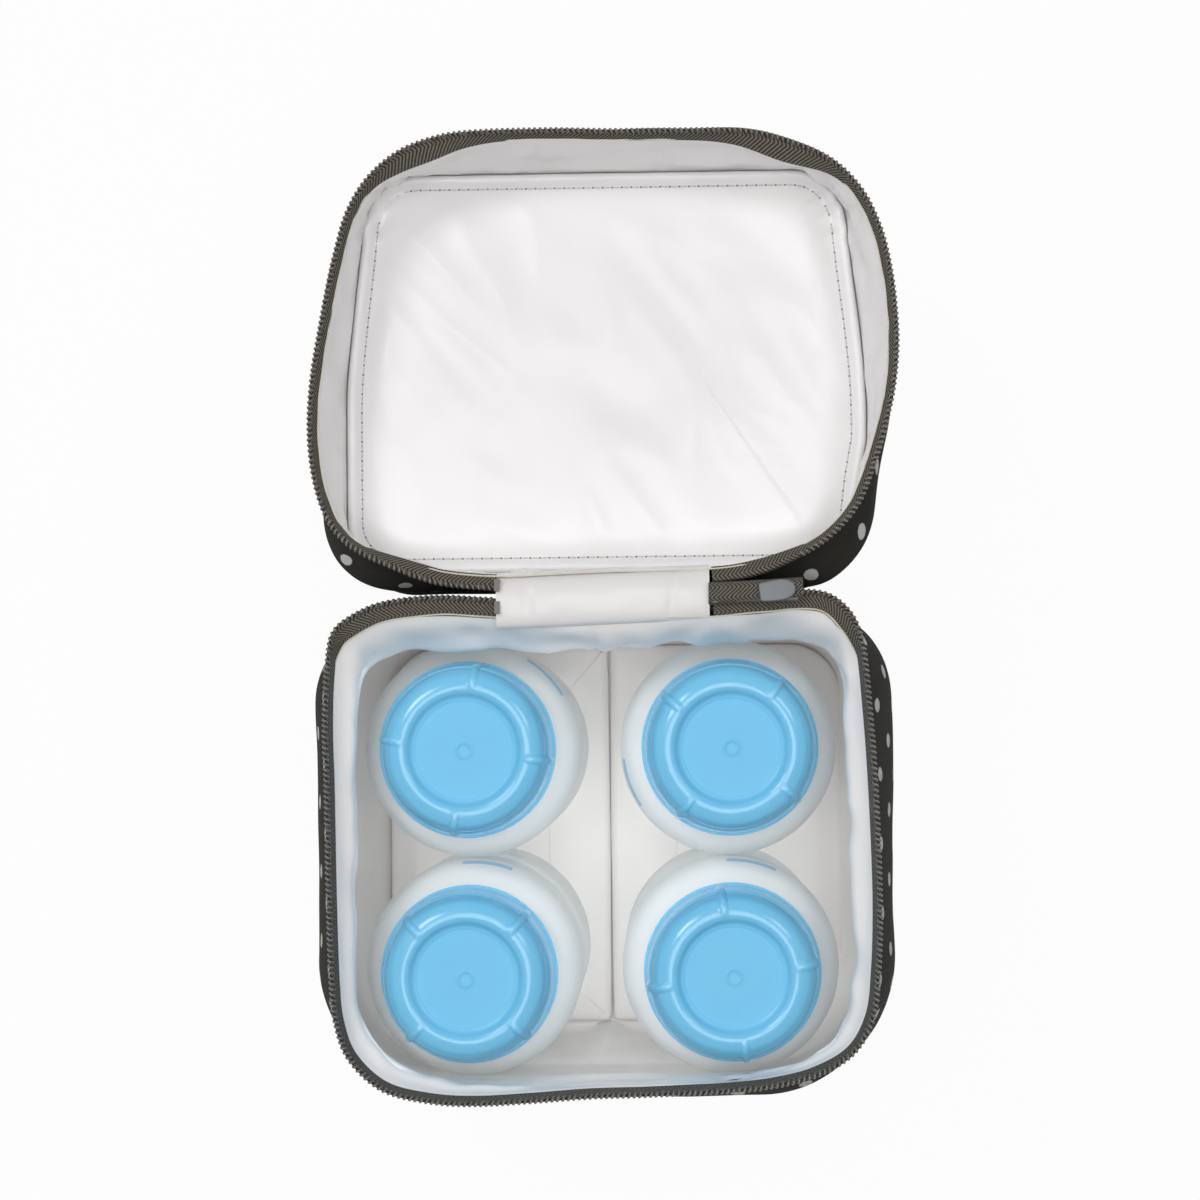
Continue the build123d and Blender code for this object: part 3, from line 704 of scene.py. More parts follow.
# Floor of the bag: foam and a stiff board under the lining, and on it the loose pad of
# two leaves, lapped at the middle, that the bottles stand on.
pad_corners = 160
pad_profile = (
    (40, 2.05), (16, 2.05), (6.6, 2.05), (6.2, 2.5), (6.2, 5.3), (6.6, 5.8), (16, 5.9), (40, 5.9),
)
floor_padding = draw_out("floor_padding", [
    at_height(bag_plan(foot_side_draw, foot_front_draw, inset * mm, pad_corners), z * mm)
    for inset, z in pad_profile
])
close_both(floor_padding, pad_corners, len(pad_profile))
tidy_faces(floor_padding)
bpy.ops.object.shade_smooth_by_angle(angle=math.radians(50))
floor_padding.data.materials.append(foam_white)
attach(floor_padding, "base")
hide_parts("base_floor_foam")


def floor_leaf(name, node, left):
    """One leaf of the pad: rounded outer corners, square at the lap, a little crowned."""
    low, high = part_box(node)
    bottom, top = low.z, high.z
    low, high = low.xy / mm, high.xy / mm
    front = low.y + 1.6
    corner = 16
    corners = 200
    curve = []
    way = 1 if left else -1
    outer = low.x if left else high.x
    inner = (high.x if left else low.x) + way * 0.24
    for centre_y, start in ((high.y - corner, 90), (front + corner, 180)):
        for step in range(13):
            angle = math.radians(start + 90 * step / 12)
            x = outer + way * corner + way * corner * math.cos(angle)
            curve.append((x, centre_y + corner * math.sin(angle)))
    points = [(inner, (front + high.y) / 2), (inner - way * 0.3, high.y - 0.8)]
    points += [(inner - way * 1.2, high.y)] + curve
    points += [(inner - way * 1.2, front), (inner - way * 0.3, front + 0.8)]
    outline = even_line([(x * mm, y * mm, 0.0) for x, y in points], corners)
    if not left:
        outline = [outline[0]] + outline[:0:-1]
    middle = (outer + inner) / 2
    left_end, right_end = (middle - 8) * mm, (middle + 8) * mm
    spine = []
    for p in outline:
        x, y = min(max(p.x, left_end), right_end), min(max(p.y, -30 * mm), 30 * mm)
        spine.append(Vector((x, y, 0.0)))
    # inset, share of the way to the spine, and height, in a leaf 3 mm thick
    profile = (
        (0, 0.7, 0.0), (0, 0.2, 0.0), (0.7, 0, 0.05), (0.15, 0, 0.5), (0.0, 0, 1.1), (0.05, 0, 1.9),
        (0.45, 0, 2.6), (1.2, 0, 2.95), (2.4, 0, 3.0), (2.4, 0.25, 3.0), (2.4, 0.7, 3.0),
    )
    rings = []
    for inset, share, z in profile:
        ring = between(inset_line(outline, inset * mm), spine, share)
        rings.append(at_height(ring, bottom + z * (top - bottom) / 3.0))
    made = draw_out(name, rings)
    close_both(made, corners, len(rings))
    tidy_faces(made)
    bpy.ops.object.shade_smooth_by_angle(angle=math.radians(50))
    made.data.materials.append(inner_film_painted_light)
    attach(made, "base")
    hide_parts(node)


floor_leaf("pad_leaf_left", "floor_pad_left", True)
floor_leaf("pad_leaf_right", "floor_pad_right", False)


# Board in the bag's bottom: stiff grey paperboard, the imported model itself, hidden under
# the foam.
def dress(node, material):
    """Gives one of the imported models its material."""
    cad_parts[node].data.materials.clear()
    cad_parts[node].data.materials.append(material)


board_grey, tree, shader, speck = speckled(
    "grey_board", 700.0, 3.0, (0.20, 0.20, 0.19), (0.34, 0.33, 0.31), 0.7,
)
raised(tree, shader, speck, 0.3, 0.2 * mm)
dress("base_floor_board", board_grey)


# Seam cord of the bag: a thin cord wrapped in charcoal twill, sewn into the seam where
# the wall meets the bottom.
piping_radius = 1.15 * mm


def cord_round(name, line, z, radius, sides=8):
    """Round cord along a closed line."""
    rings = []
    for step in range(sides + 1):
        angle = 2 * math.pi * (step % sides) / sides
        ring = inset_line(line, radius * math.cos(angle))
        rings.append(at_height(ring, z + radius * math.sin(angle)))
    made = draw_out(name, rings, joined=True)
    bpy.ops.object.shade_smooth_by_angle(angle=math.radians(60))
    return made


foot_seam = inset_line(ring_at(cover_rings, 2.0 * mm), -0.8 * mm)
bag_piping = cord_round("bag_piping", foot_seam, 1.3 * mm, piping_radius)
piping_dark, tree, shader = new_material("charcoal_piping")
flat = add_node(tree, "ShaderNodeTexCoord").outputs["UV"]
parts = add_node(tree, "ShaderNodeSeparateXYZ", {0: flat})
lean = count_up(tree, "MULTIPLY_ADD", parts.outputs["Y"], 1.0, parts.outputs["X"])
turn = count_up(tree, "MULTIPLY", lean, math.pi / (0.55 * mm))
twill = count_up(tree, "ABSOLUTE", count_up(tree, "SINE", turn))
tinted(tree, shader, twill, (0.014, 0.0135, 0.012), (0.060, 0.057, 0.050))
shader.inputs["Roughness"].default_value = 0.75
raised(tree, shader, twill, 0.5, 0.12 * mm)
bag_piping.data.materials.append(piping_dark)
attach(bag_piping, "base")
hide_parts("base_piping")


# Zip tape of the bag: taupe herringbone, folded over the rim. Its outer leg is sewn to
# the cover and its inner leg lies towards the lining, flatter along the back.
tape_thickness = 0.42 * mm
tape_inset = -0.4 * mm
hinge_left, hinge_right = -28.0 * mm, 27.3 * mm
fine_count = 1200
tape_count = 360


def fine_run(line, keep, count):
    """Evenly spaced open line along the stretch of a closed line whose points are kept."""
    kept = [keep(p) for p in line]
    start = next(index for index in range(len(line)) if kept[index] and not kept[index - 1])
    stretch = []
    for p, stays in zip(line[start:] + line[:start], kept[start:] + kept[:start]):
        if not stays:
            break
        stretch.append(p)
    return even_line(stretch, count, closed=False)


def inset_run(run, distance, inward):
    """An open line moved sideways by a distance for each point."""
    result = []
    for index, p in enumerate(run):
        along = (run[min(index + 1, len(run) - 1)] - run[max(index - 1, 0)]).normalized()
        step = distance[index] if isinstance(distance, list) else distance
        result.append(p + Vector((-along.y, along.x, 0.0)) * inward * step)
    return result


def tape_fold(name, run, inward, width, drop, outer_low):
    """Folded tape: up the outer leg, over the top and down the inner leg."""
    top_offset, top = 1.25, 127.1
    legs = ((1.55, outer_low), (1.40, 120.5), (1.15, 123.5), (0.92, 125.8), (0.95, 126.75))
    legs += ((top_offset, top),)
    rings = [at_height(inset_run(run, offset * mm, inward), z * mm) for offset, z in legs]
    for t in (0.12, 0.28, 0.45, 0.62, 0.80, 1.0):
        ring = inset_run(run, [(top_offset + (wide - top_offset) * t) * mm for wide in width], inward)
        rings.append([Vector((p.x, p.y, (top - fall * t**1.2) * mm)) for p, fall in zip(ring, drop)])
    made = draw_out(name, rings, closed=False)
    thicken(made, tape_thickness, 0.0, angle=50)
    return made


def bag_tape_keep(p):
    """All round the mouth except at the hinge."""
    return not (p.y > 50 * mm and hinge_left < p.x < hinge_right)


fine_mouth = smooth_line(rim_corners, fine_count)
tape_run = fine_run(inset_line(fine_mouth, tape_inset), bag_tape_keep, tape_count)
tape_flap = [ease(p.y, 50 * mm, 64 * mm) for p in tape_run]
tape_width = [2.55 + 3.35 * share for share in tape_flap]
tape_drop = [4.3 - 3.0 * share for share in tape_flap]
tape_foot = 117.6
bag_tape = tape_fold("bag_tape", tape_run, 1, tape_width, tape_drop, tape_foot)
herringbone, tree, shader = new_material("taupe_herringbone")
flat = add_node(tree, "ShaderNodeTexCoord").outputs["UV"]
parts = add_node(tree, "ShaderNodeSeparateXYZ", {0: flat})
column = count_up(tree, "PINGPONG", parts.outputs["Y"], 2.6 * mm)
slant = count_up(tree, "MULTIPLY_ADD", column, 1.1, parts.outputs["X"])
twill = count_up(tree, "SINE", count_up(tree, "MULTIPLY", slant, 2 * math.pi / (1.10 * mm)))
plied = {"Value": twill, "From Min": -0.7, "From Max": 0.7}
twill = add_node(tree, "ShaderNodeMapRange", plied).outputs[0]
speck = add_node(
    tree, "ShaderNodeTexNoise", {"Vector": flat, "Scale": 1400.0, "Detail": 2.0}, noise_dimensions="2D",
)
ply = count_up(tree, "MULTIPLY", twill, count_up(tree, "MULTIPLY_ADD", speck.outputs["Fac"], 0.8, 0.5))
tinted(tree, shader, ply, (0.022, 0.019, 0.015), (0.175, 0.157, 0.130))
shader.inputs["Roughness"].default_value = 0.78
shader.inputs["Specular IOR Level"].default_value = 0.25
shader.inputs["Sheen Weight"].default_value = 0.03
raised(tree, shader, twill, 0.6, 0.12 * mm)
bag_tape.data.materials.append(herringbone)
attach(bag_tape, "base")
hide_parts("base_zip_tape")


# Zip coil of the bag: one nylon filament wound in loops along the edge of the tape, a
# loop every 1.4 mm, with the noses outwards, from the hinge round to the slider.
coil_pitch = 1.4 * mm
wire_radius = 0.40 * mm
wire_sides = 6
coil_left, coil_right = -29.2 * mm, 49.6 * mm
coil_inset = 0.80 * mm
coil_height = 127.55 * mm
coil_count = 700


def line_length(run):
    """Length of an open line."""
    return sum((b - a).length for a, b in zip(run, run[1:]))


def lay_copies(made, run, z, pitch, count):
    """Repeats a piece every pitch and bends the row along a line at a height."""
    route = bpy.data.curves.new(made.name + "_route", "CURVE")
    route.dimensions = "3D"
    route.twist_mode = "Z_UP"
    spline = route.splines.new("POLY")
    spline.points.add(len(run) - 1)
    for point, p in zip(spline.points, run):
        point.co = (p.x, p.y, z, 1.0)
    guide = bpy.data.objects.new(made.name + "_route", route)
    bpy.context.scene.collection.objects.link(guide)
    take_up(made)
    row = made.modifiers.new("row", "ARRAY")
    row.count = count
    row.use_relative_offset = False
    row.use_constant_offset = True
    row.constant_offset_displace = (pitch, 0.0, 0.0)
    bpy.ops.object.modifier_apply(modifier="row")
    bend = made.modifiers.new("bend", "CURVE")
    bend.object = guide
    bend.deform_axis = "POS_X"
    bpy.ops.object.modifier_apply(modifier="bend")
    bpy.data.objects.remove(guide)


def coil_along(name, run, outward, z):
    """Models one loop of the coil and lays copies of it along a line."""
    length = line_length(run)
    count = round(length / coil_pitch)
    pitch = length / count
    bpy.ops.object.select_all(action="DESELECT")
    bpy.ops.mesh.primitive_circle_add(vertices=wire_sides, radius=wire_radius)
    made = bpy.context.active_object
    made.name = name
    bpy.ops.object.transform_apply(location=False, rotation=True, scale=False)
    # along the tape, across it, height, and lean of the wire in degrees
    path = [
        (0.26, 0.36, -1.30, 0.0), (0.26, 0.38, 0.05, 0.0), (0.32, 0.30, 0.50, 38.0),
        (0.50, 0.0, 0.80, 90.0), (0.70, -0.30, 0.50, 142.0), (0.76, -0.38, 0.05, 180.0),
        (0.76, -0.36, -1.30, 180.0),
    ]
    bpy.ops.object.mode_set(mode="EDIT")
    bpy.ops.mesh.select_all(action="SELECT")
    work = bmesh.from_edit_mesh(made.data)
    base_shape = [vert.co.copy() for vert in work.verts]
    for index, (x, y, height, lean) in enumerate(path):
        if index:
            bpy.ops.mesh.extrude_edges_move()
            work = bmesh.from_edit_mesh(made.data)
        work.verts.ensure_lookup_table()
        angle = math.radians(lean)
        for vert, start in zip(work.verts[-wire_sides:], base_shape):
            turned = Vector((start.x, outward * start.y * math.cos(angle), start.y * math.sin(angle)))
            vert.co = Vector((x * mm, outward * y * mm, height * mm)) + turned
        bmesh.update_edit_mesh(made.data)
    bpy.ops.object.mode_set(mode="OBJECT")
    close_both(made, wire_sides, len(path))
    tidy_faces(made, 0.001 * mm)
    lay_copies(made, run, z, pitch, count)
    bpy.ops.object.shade_smooth_by_angle(angle=math.radians(80))
    return made


def bag_coil_keep(p):
    """All round the mouth except from the hinge's left end to the slider."""
    return not (p.y > 50 * mm and coil_left < p.x < coil_right)


coil_run = fine_run(inset_line(fine_mouth, coil_inset), bag_coil_keep, coil_count)
bag_coil = coil_along("bag_coil", coil_run, -1, coil_height)
nylon, tree, shader, speck = speckled(
    "taupe_nylon", 500.0, 2.0, (0.060, 0.053, 0.045), (0.200, 0.180, 0.155), 0.26,
)
shader.inputs["Specular IOR Level"].default_value = 0.65
bag_coil.data.materials.append(nylon)
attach(bag_coil, "base")
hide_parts("base_zip_coil")


# Cover of the lid: the same dotted cloth as the bag's, laid open on its top. Its rim
# spreads wider than the bag's mouth and stops shorter, and its corners bulge below.
def tray_plan(wide, low, high, low_radius, high_radius, count):
    """Outline of the open lid at one height, from the middle of the hinge round by the left."""
    corners = [
        (-wide + low_radius, low + low_radius, low_radius, 270),
        (-wide + high_radius, high - high_radius, high_radius, 180),
        (wide - high_radius, high - high_radius, high_radius, 90),
        (wide - low_radius, low + low_radius, low_radius, 0),
    ]
    points = [(0.0, low * mm, 0.0)]
    for x, y, radius, start in corners:
        for step in range(25):
            angle = math.radians(start - 90 * step / 24)
            across, along = x + radius * math.cos(angle), y + radius * math.sin(angle)
            points.append((across * mm, along * mm, 0.0))
    return even_line(points, count)


lid_corners = [
    (0, 70.2), (-16, 69.6), (-28.5, 69.3), (-41.4, 70.5), (-48.4, 72.4), (-55.6, 75.3),
    (-62.8, 78.7), (-68.4, 82.8), (-72.6, 88.6), (-75.4, 96.6), (-76.9, 106), (-77.1, 116),
    (-76.1, 127), (-74.2, 138), (-72.3, 148), (-69.9, 158.6), (-66.8, 168.8), (-61.4, 177.7),
    (-53.2, 184.6), (-42.9, 188.5), (-32, 189.8), (-13.5, 190.0), (3, 189.5), (20, 189.4),
    (38, 188.9), (50, 185.7), (60.5, 180.6), (68.0, 172.7), (72.7, 162.7), (75.2, 152), (76.4, 141),
    (76.6, 131), (75.4, 120), (72.9, 109.7), (69.8, 100), (66.6, 92.0), (62.6, 86.2), (57, 81),
    (50, 76.8), (40, 72.6), (27, 70.6),
]
lid_mouth = smooth_line(lid_corners, ring_count)
# height, half width, ends at the hinge and far from it, corner radii there, and inset
lid_levels = [
    (91.1, 69.0, 72.4, 187.0, 18, 24, 48), (91.1, 69.0, 72.4, 187.0, 18, 24, 30),
    (91.1, 69.0, 72.4, 187.0, 18, 24, 14), (91.1, 69.0, 72.4, 187.0, 18, 24, 4),
    (91.2, 69.0, 72.4, 187.0, 18, 24, 0.9), (91.9, 69.6, 72.0, 187.8, 18, 24, 0),
    (93.4, 71.4, 71.4, 189.6, 19, 26, 0), (95.8, 73.2, 71.1, 191.2, 19, 27, 0),
    (99.0, 74.8, 70.9, 192.4, 20, 28, 0), (103.0, 75.8, 70.8, 193.0, 20, 28, 0),
    (107.3, 76.1, 70.8, 193.2, 20, 28, 0), (110.5, 76.0, 70.8, 193.0, 20, 28, 0),
    (113.0, 75.6, 70.8, 192.4, 20, 28, 0), (115.0, 75.0, 70.8, 191.6, 20, 28, 0),
    (116.8, 74.4, 70.9, 190.8, 20, 28, 0), (118.4, 74.0, 71.0, 190.2, 20, 28, 0),
]
# the camera's place, and how far below it the lid's rim lies
eye_x, eye_y, eye_height = 14.3 * mm, 34.2 * mm, 787.0
rim_distance = 659.4
lid_middle = 130 * mm
top_spine = 26 * mm
lid_rings = []
for height, wide, low, high, low_radius, high_radius, inset in lid_levels:
    ring = tray_plan(wide, low, high, low_radius, high_radius, ring_count)
    collar = ease(height, 106.0, 118.4)
    grow = (eye_height - height) / rim_distance
    spread = []
    for p in lid_mouth:
        spread.append(Vector(((p.x - eye_x) * grow + eye_x, (p.y - eye_y) * grow + eye_y, 0.0)))
    follow = inset_line(spread, (0.5 + 0.24 * max(100.0 - height, 0.0) ** 1.4) * mm)
    ring = [wall + ease(wall.y, 126 * mm, 166 * mm) * (rim - wall) for wall, rim in zip(ring, follow)]
    for p in ring:
        p.x -= 5.4 * mm * ease(p.x, 40 * mm, 72 * mm) * (1 - ease(p.y, 84 * mm, 122 * mm))
    ring = between(ring, spine_of(ring, top_spine, lid_middle), inset / 52.0)
    ring = between(ring, inset_line(lid_mouth, 1.5 * mm), collar)
    soft = 0.0 if inset else 1.0 - 0.7 * collar
    moves = []
    for p in ring:
        swell = 0.8 * ripple((p.x, p.y, height * mm), 40 * mm, 7.3)
        swell += 0.35 * ripple((p.x, p.y, height * mm), 14 * mm, 2.9)
        pucker = 0.3 * collar * ripple((p.x, p.y, 0.0), 7 * mm, 1.1)
        moves.append((0.15 - swell * soft - pucker) * mm)
    lid_rings.append(at_height(inset_line(ring, moves), height * mm))
lid_cover = draw_out("lid_cover", lid_rings)
close_end(lid_cover, 0, ring_count)
lay_plan_uv(lid_cover, 91.6 * mm)
tidy_faces(lid_cover)
thicken(lid_cover, cloth_thickness, -1.0)
lid_cover.data.materials.append(dotted_cloth)
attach(lid_cover, "lid")
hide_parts("lid_outer_wall", "lid_outer_top")
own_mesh(lid_cover)


# Foam of the lid: a slab over its top and a thinner wall round it, of the bag's white
# foam, held between the cover and the lining.
pad_outer = []
for index, ring in enumerate(lid_rings[:-2]):
    above = 0.95 * mm if index < 5 else 0.3 * mm
    pad_outer.append(at_height(inset_line(ring, 1.0 * mm), ring[0].z + above))
pad_inner = []
for ring in pad_outer[6:]:
    thin = 1.4 * mm - 0.9 * mm * ease(ring[0].z, 96 * mm, 114 * mm)
    pad_inner.append(at_height(inset_line(ring, thin), ring[0].z))
pad_spine = spine_of(pad_inner[0], top_spine, lid_middle)
pad_floor = []
for share in (0.05, 0.3, 0.6, 0.9):
    pad_floor.append(at_height(between(pad_inner[0], pad_spine, share), 96.2 * mm))
pad_rings = pad_outer + pad_inner[::-1] + pad_floor
lid_padding = draw_out("lid_padding", pad_rings)
close_both(lid_padding, ring_count, len(pad_rings))
tidy_faces(lid_padding)
bpy.ops.object.shade_smooth_by_angle(angle=math.radians(50))
lid_padding.data.materials.append(foam_white)
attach(lid_padding, "lid")
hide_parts("lid_wall_foam", "lid_top_foam")
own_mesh(lid_padding)


# Lining wall of the lid: a loose strip of the white film from the zip down to the
# panel's seam, with soft folds that gather at the far corners and along the hinge.
def pulled_away(p):
    """How far the lining pulls away from the zip: at the far corners and by the hinge."""
    corner = hump(abs(p.x), 48 * mm, 14 * mm) * ease(p.y, 172 * mm, 184 * mm)
    return corner + 0.55 * ease(80 * mm - p.y, 0.0, 9 * mm)


panel_plan = tray_plan(68.8, 76.6, 182.6, 13, 14, ring_count)
for p in panel_plan:
    p.x *= 1 - 0.075 * ease(p.y, 118 * mm, 183 * mm)
keep_inside(panel_plan, ring_at(lid_rings, 99 * mm), 4.3 * mm)
panel_plan = even_line(panel_plan, ring_count)
lid_steps = [
    (126.2, 0.0, 0.45), (125.4, 0.0, 0.0), (123.4, 0.07, 0.0), (121.0, 0.16, 0.0),
    (118.2, 0.28, 0.0), (115.2, 0.41, 0.0), (112.2, 0.54, 0.0), (109.4, 0.66, 0.0),
    (106.8, 0.77, 0.0), (104.4, 0.86, 0.0), (102.2, 0.93, 0.0), (100.2, 0.98, 0.0),
    (98.6, 1.0, 0.0), (97.6, 1.0, 0.0),
]
lid_lining_top = inset_line(lid_mouth, [(2.7 + 3.3 * pulled_away(p)) * mm for p in lid_mouth])
lid_lining_foot = inset_line(panel_plan, -1.25 * mm)
lid_lining_rings = []
for height, drop, hem in lid_steps:
    ring = between(lid_lining_top, lid_lining_foot, drop)
    loose = math.sin(math.pi * min(max((126.2 - height) / 27.0, 0.0), 1.0))
    moves = []
    for p in ring:
        corner = hump(Vector((abs(p.x) - 64 * mm, p.y - 176 * mm)).length, 0.0, 15 * mm)
        wave = 1.7 * ripple((p.x, p.y, 1.5 * height * mm), 17 * mm, 9.1)
        wave += 0.6 * ripple((p.x, p.y, height * mm), 7.5 * mm, 3.3)
        wave += 1.3 * (0.5 - crease((p.x, p.y, 0.7 * height * mm), 13 * mm, 12.7))
        for fold_x in (-19.0, 17.0):
            fold = hump(p.x / mm - fold_x - 0.3 * (height - 112), 0.0, 1.6)
            wave -= 1.4 * ease(p.y, 150 * mm, 180 * mm) * fold
        gather_phase = (p.x + p.y) / (1.5 * mm) + 3.0 * ripple((p.x, p.y, height * mm), 8 * mm, 4.1)
        gather = 1.5 * corner * math.sin(gather_phase)
        side = 1.2 * hump(abs(p.x), 72 * mm, 7 * mm)
        side *= ripple((0.0, p.y, 2.4 * height * mm), 24 * mm, 5.5)
        moves.append((loose * (wave + gather + side + 0.6) - hem) * mm)
    placed = inset_line(ring, moves)
    depth = 2.7 - 0.4 * ease(height, 104.0, 112.0) - 1.2 * ease(height, 114.5, 118.5)
    keep_inside(placed, ring_at(lid_rings, height * mm), depth * mm)
    for p in placed:
        sag = 1.2 - 0.8 * ease(80 * mm - p.y, 0.0, 9 * mm)
        p.z = height * mm - sag * mm * ease(height, 118.0, 125.0)
    lid_lining_rings.append(placed)
lid_lining = draw_out("lid_lining", lid_lining_rings)
tidy_faces(lid_lining)
thicken(lid_lining, film_thickness, 1.0, angle=60)
white_film = film("white_film", (0.90, 0.885, 0.885), 0.0)
lid_lining.data.materials.append(white_film)
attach(lid_lining, "lid")
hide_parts("lid_wall_lining")
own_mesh(lid_lining)


# Cut edge of the lid's lining: a thin cream strip like the bag's, where the film was
# cut, sewn under the lid's zip.
lid_cut_edge = cut_edge("lid_cut_edge", lid_lining_rings[0])
lid_cut_edge.data.materials.append(cream)
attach(lid_cut_edge, "lid")
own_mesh(lid_cut_edge)


# Panel of the lid: a padded white panel with a rolled seam all round and, a few
# millimetres in from it, a line of stitches that pulls the film down.
panel_profile = [
    (-0.9, 97.2), (-1.1, 98.6), (-1.1, 99.8), (-0.8, 100.9), (-0.3, 101.7), (0.3, 102.0),
    (0.9, 101.9), (1.5, 101.5), (2.0, 100.9), (2.5, 100.35), (3.0, 100.1), (3.6, 100.2),
    (4.5, 100.6), (6.4, 101.0), (9.0, 101.2), (11.0, 101.3), (13.0, 101.35), (15.5, 101.4),
    (18.0, 101.4), (21.0, 101.4), (24.0, 101.4), (27.0, 101.4), (30.0, 101.4), (33.5, 101.4),
    (37.0, 101.4), (40.5, 101.4), (43.5, 101.4), (46.5, 101.4), (49.0, 101.4), (51.5, 101.4),
]
panel_rings = []
panel_spine = spine_of(panel_plan, 24 * mm, 130.1 * mm)
for inset, height in panel_profile:
    if inset < 10:
        ring = inset_line(panel_plan, inset * mm)
    else:
        ring = between(inset_line(panel_plan, 9.0 * mm), panel_spine, (inset - 9.0) / 42.5)
    placed = []
    for p in ring:
        z = height + hump(inset, 0.5, 1.8) * 0.5 * ripple((p.x, p.y, 0.0), 13 * mm, 4.7)
        flat_share = ease(inset, 3.4, 10.0)
        z += flat_share * 1.5 * ripple((p.x + 0.9 * p.y, 0.45 * p.y - 0.35 * p.x, 0.0), 30 * mm, 8.8)
        long_way = (p.x + 0.8 * p.y, 0.30 * p.y - 0.35 * p.x, 0.0)
        z += flat_share * 0.9 * (1 - crease(long_way, 17 * mm, 2.2))
        cross_way = (0.4 * p.x - 0.5 * p.y, 0.9 * p.x + 0.5 * p.y, 0.0)
        z += flat_share * 0.35 * (1 - crease(cross_way, 15 * mm, 5.1))
        corner = hump(Vector((abs(p.x) - 61 * mm, p.y - 174 * mm)).length, 0.0, 9 * mm)
        z += corner * (1 - flat_share) * 0.7 * math.sin((p.x - p.y) / (1.1 * mm))
        placed.append(Vector((p.x, p.y, z * mm)))
    panel_rings.append(placed)
panel_edge = inset_line(panel_plan, 1.0 * mm)
panel_under = [at_height(between(panel_edge, panel_spine, share), 96.7 * mm) for share in (0.9, 0.4, 0)]
panel_rings = panel_under + panel_rings
lid_panel = draw_out("lid_panel", panel_rings)
close_end(lid_panel, 0, ring_count)
close_end(lid_panel, ring_count * (len(panel_rings) - 1), ring_count, seam=0.85 * mm)
tidy_faces(lid_panel)
bpy.ops.object.shade_smooth_by_angle(angle=math.radians(60))
lid_panel.data.materials.append(white_film)
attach(lid_panel, "lid")
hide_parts("lid_inner_panel", "lid_panel_welt")
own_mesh(lid_panel)


# Stitches of the panel: white thread, 2.6 mm long, each lying in the groove between two
# needle holes.
stitch_length = 2.6 * mm


def stitch_row(name, run, z_line, length):
    """Models one short thread bar, flatter below, and lays copies of it along a line."""
    total = line_length(run)
    count = round(total / length)
    pitch = total / count
    bpy.ops.object.select_all(action="DESELECT")
    bpy.ops.mesh.primitive_uv_sphere_add(
        segments=8, ring_count=6, radius=1.0,
        location=(0.5 * pitch, 0.0, 0.0), scale=(0.34 * pitch, 0.26 * mm, 0.26 * mm),
    )
    made = bpy.context.active_object
    made.name = name
    bpy.ops.object.transform_apply(location=True, rotation=True, scale=True)
    bpy.ops.object.mode_set(mode="EDIT")
    bpy.ops.mesh.select_all(action="DESELECT")
    work = bmesh.from_edit_mesh(made.data)
    for vert in work.verts:
        vert.select_set(vert.co.z < -0.01 * mm)
    work.select_flush(True)
    bmesh.update_edit_mesh(made.data)
    bpy.ops.transform.resize(value=(0.8, 0.8, 0.5), center_override=(0.5 * pitch, 0.0, 0.0))
    bpy.ops.object.mode_set(mode="OBJECT")
    lay_copies(made, run, z_line, pitch, count)
    bpy.ops.object.shade_smooth()
    return made


stitch_run = even_line(inset_line(panel_plan, 3.0 * mm), 900)
stitch_run.append(stitch_run[0])
lid_stitches = stitch_row("lid_stitches", stitch_run, 100.25 * mm, stitch_length)
white_thread, tree, shader = new_material("white_thread")
place = add_node(tree, "ShaderNodeTexCoord").outputs["Object"]
ply = add_node(tree, "ShaderNodeTexWave", {"Vector": place, "Scale": 1500.0, "Distortion": 2.0})
tinted(tree, shader, ply.outputs["Fac"], (0.42, 0.42, 0.44), (0.74, 0.74, 0.75))
shader.inputs["Roughness"].default_value = 0.55
lid_stitches.data.materials.append(white_thread)
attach(lid_stitches, "lid")
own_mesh(lid_stitches)


# Needle holes of the panel: small dark grey dots between the stitches, painted shade
# in the holes that the needle left in the film, some darker than others.
stitch_total = line_length(stitch_run)
hole_count = round(stitch_total / stitch_length)
bpy.ops.object.select_all(action="DESELECT")
bpy.ops.mesh.primitive_circle_add(
    vertices=8, radius=0.22 * mm, fill_type="NGON", location=(0.0, 0.0, -0.25 * mm),
)
lid_hole_shade_dots = bpy.context.active_object
lid_hole_shade_dots.name = "lid_hole_shade_dots"
bpy.ops.object.transform_apply(location=True, rotation=True, scale=True)
bpy.ops.object.mode_set(mode="EDIT")
bpy.ops.mesh.select_all(action="SELECT")
bpy.ops.mesh.extrude_region_move(TRANSFORM_OT_translate={"value": (0.0, 0.0, 0.35 * mm)})
bpy.ops.transform.resize(value=(1.7, 1.2, 1.0), center_override=(0.0, 0.0, 0.1 * mm))
bpy.ops.object.mode_set(mode="OBJECT")
tidy_faces(lid_hole_shade_dots, 0.001 * mm)
lay_copies(lid_hole_shade_dots, stitch_run, 100.22 * mm, stitch_total / hole_count, hole_count)
# Dark to mid grey: painted shade inside the needle holes, not a colour of the film.
painted_hole_shade = speckled("painted_hole_shade", 200.0, 2.0, (0.06, 0.06, 0.055), (0.42, 0.41, 0.39), 0.9)[0]
lid_hole_shade_dots.data.materials.append(painted_hole_shade)
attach(lid_hole_shade_dots, "lid")
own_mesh(lid_hole_shade_dots)


# Seam cord of the lid: the same wrapped cord as the bag's, sewn in round the lid's top,
# which lies underneath while the lid is open.
top_seam = inset_line(ring_at(lid_rings, 91.8 * mm), -0.6 * mm)
lid_piping = cord_round("lid_piping", top_seam, 91.4 * mm, piping_radius)
lid_piping.data.materials.append(piping_dark)
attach(lid_piping, "lid")
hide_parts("lid_piping")
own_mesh(lid_piping)


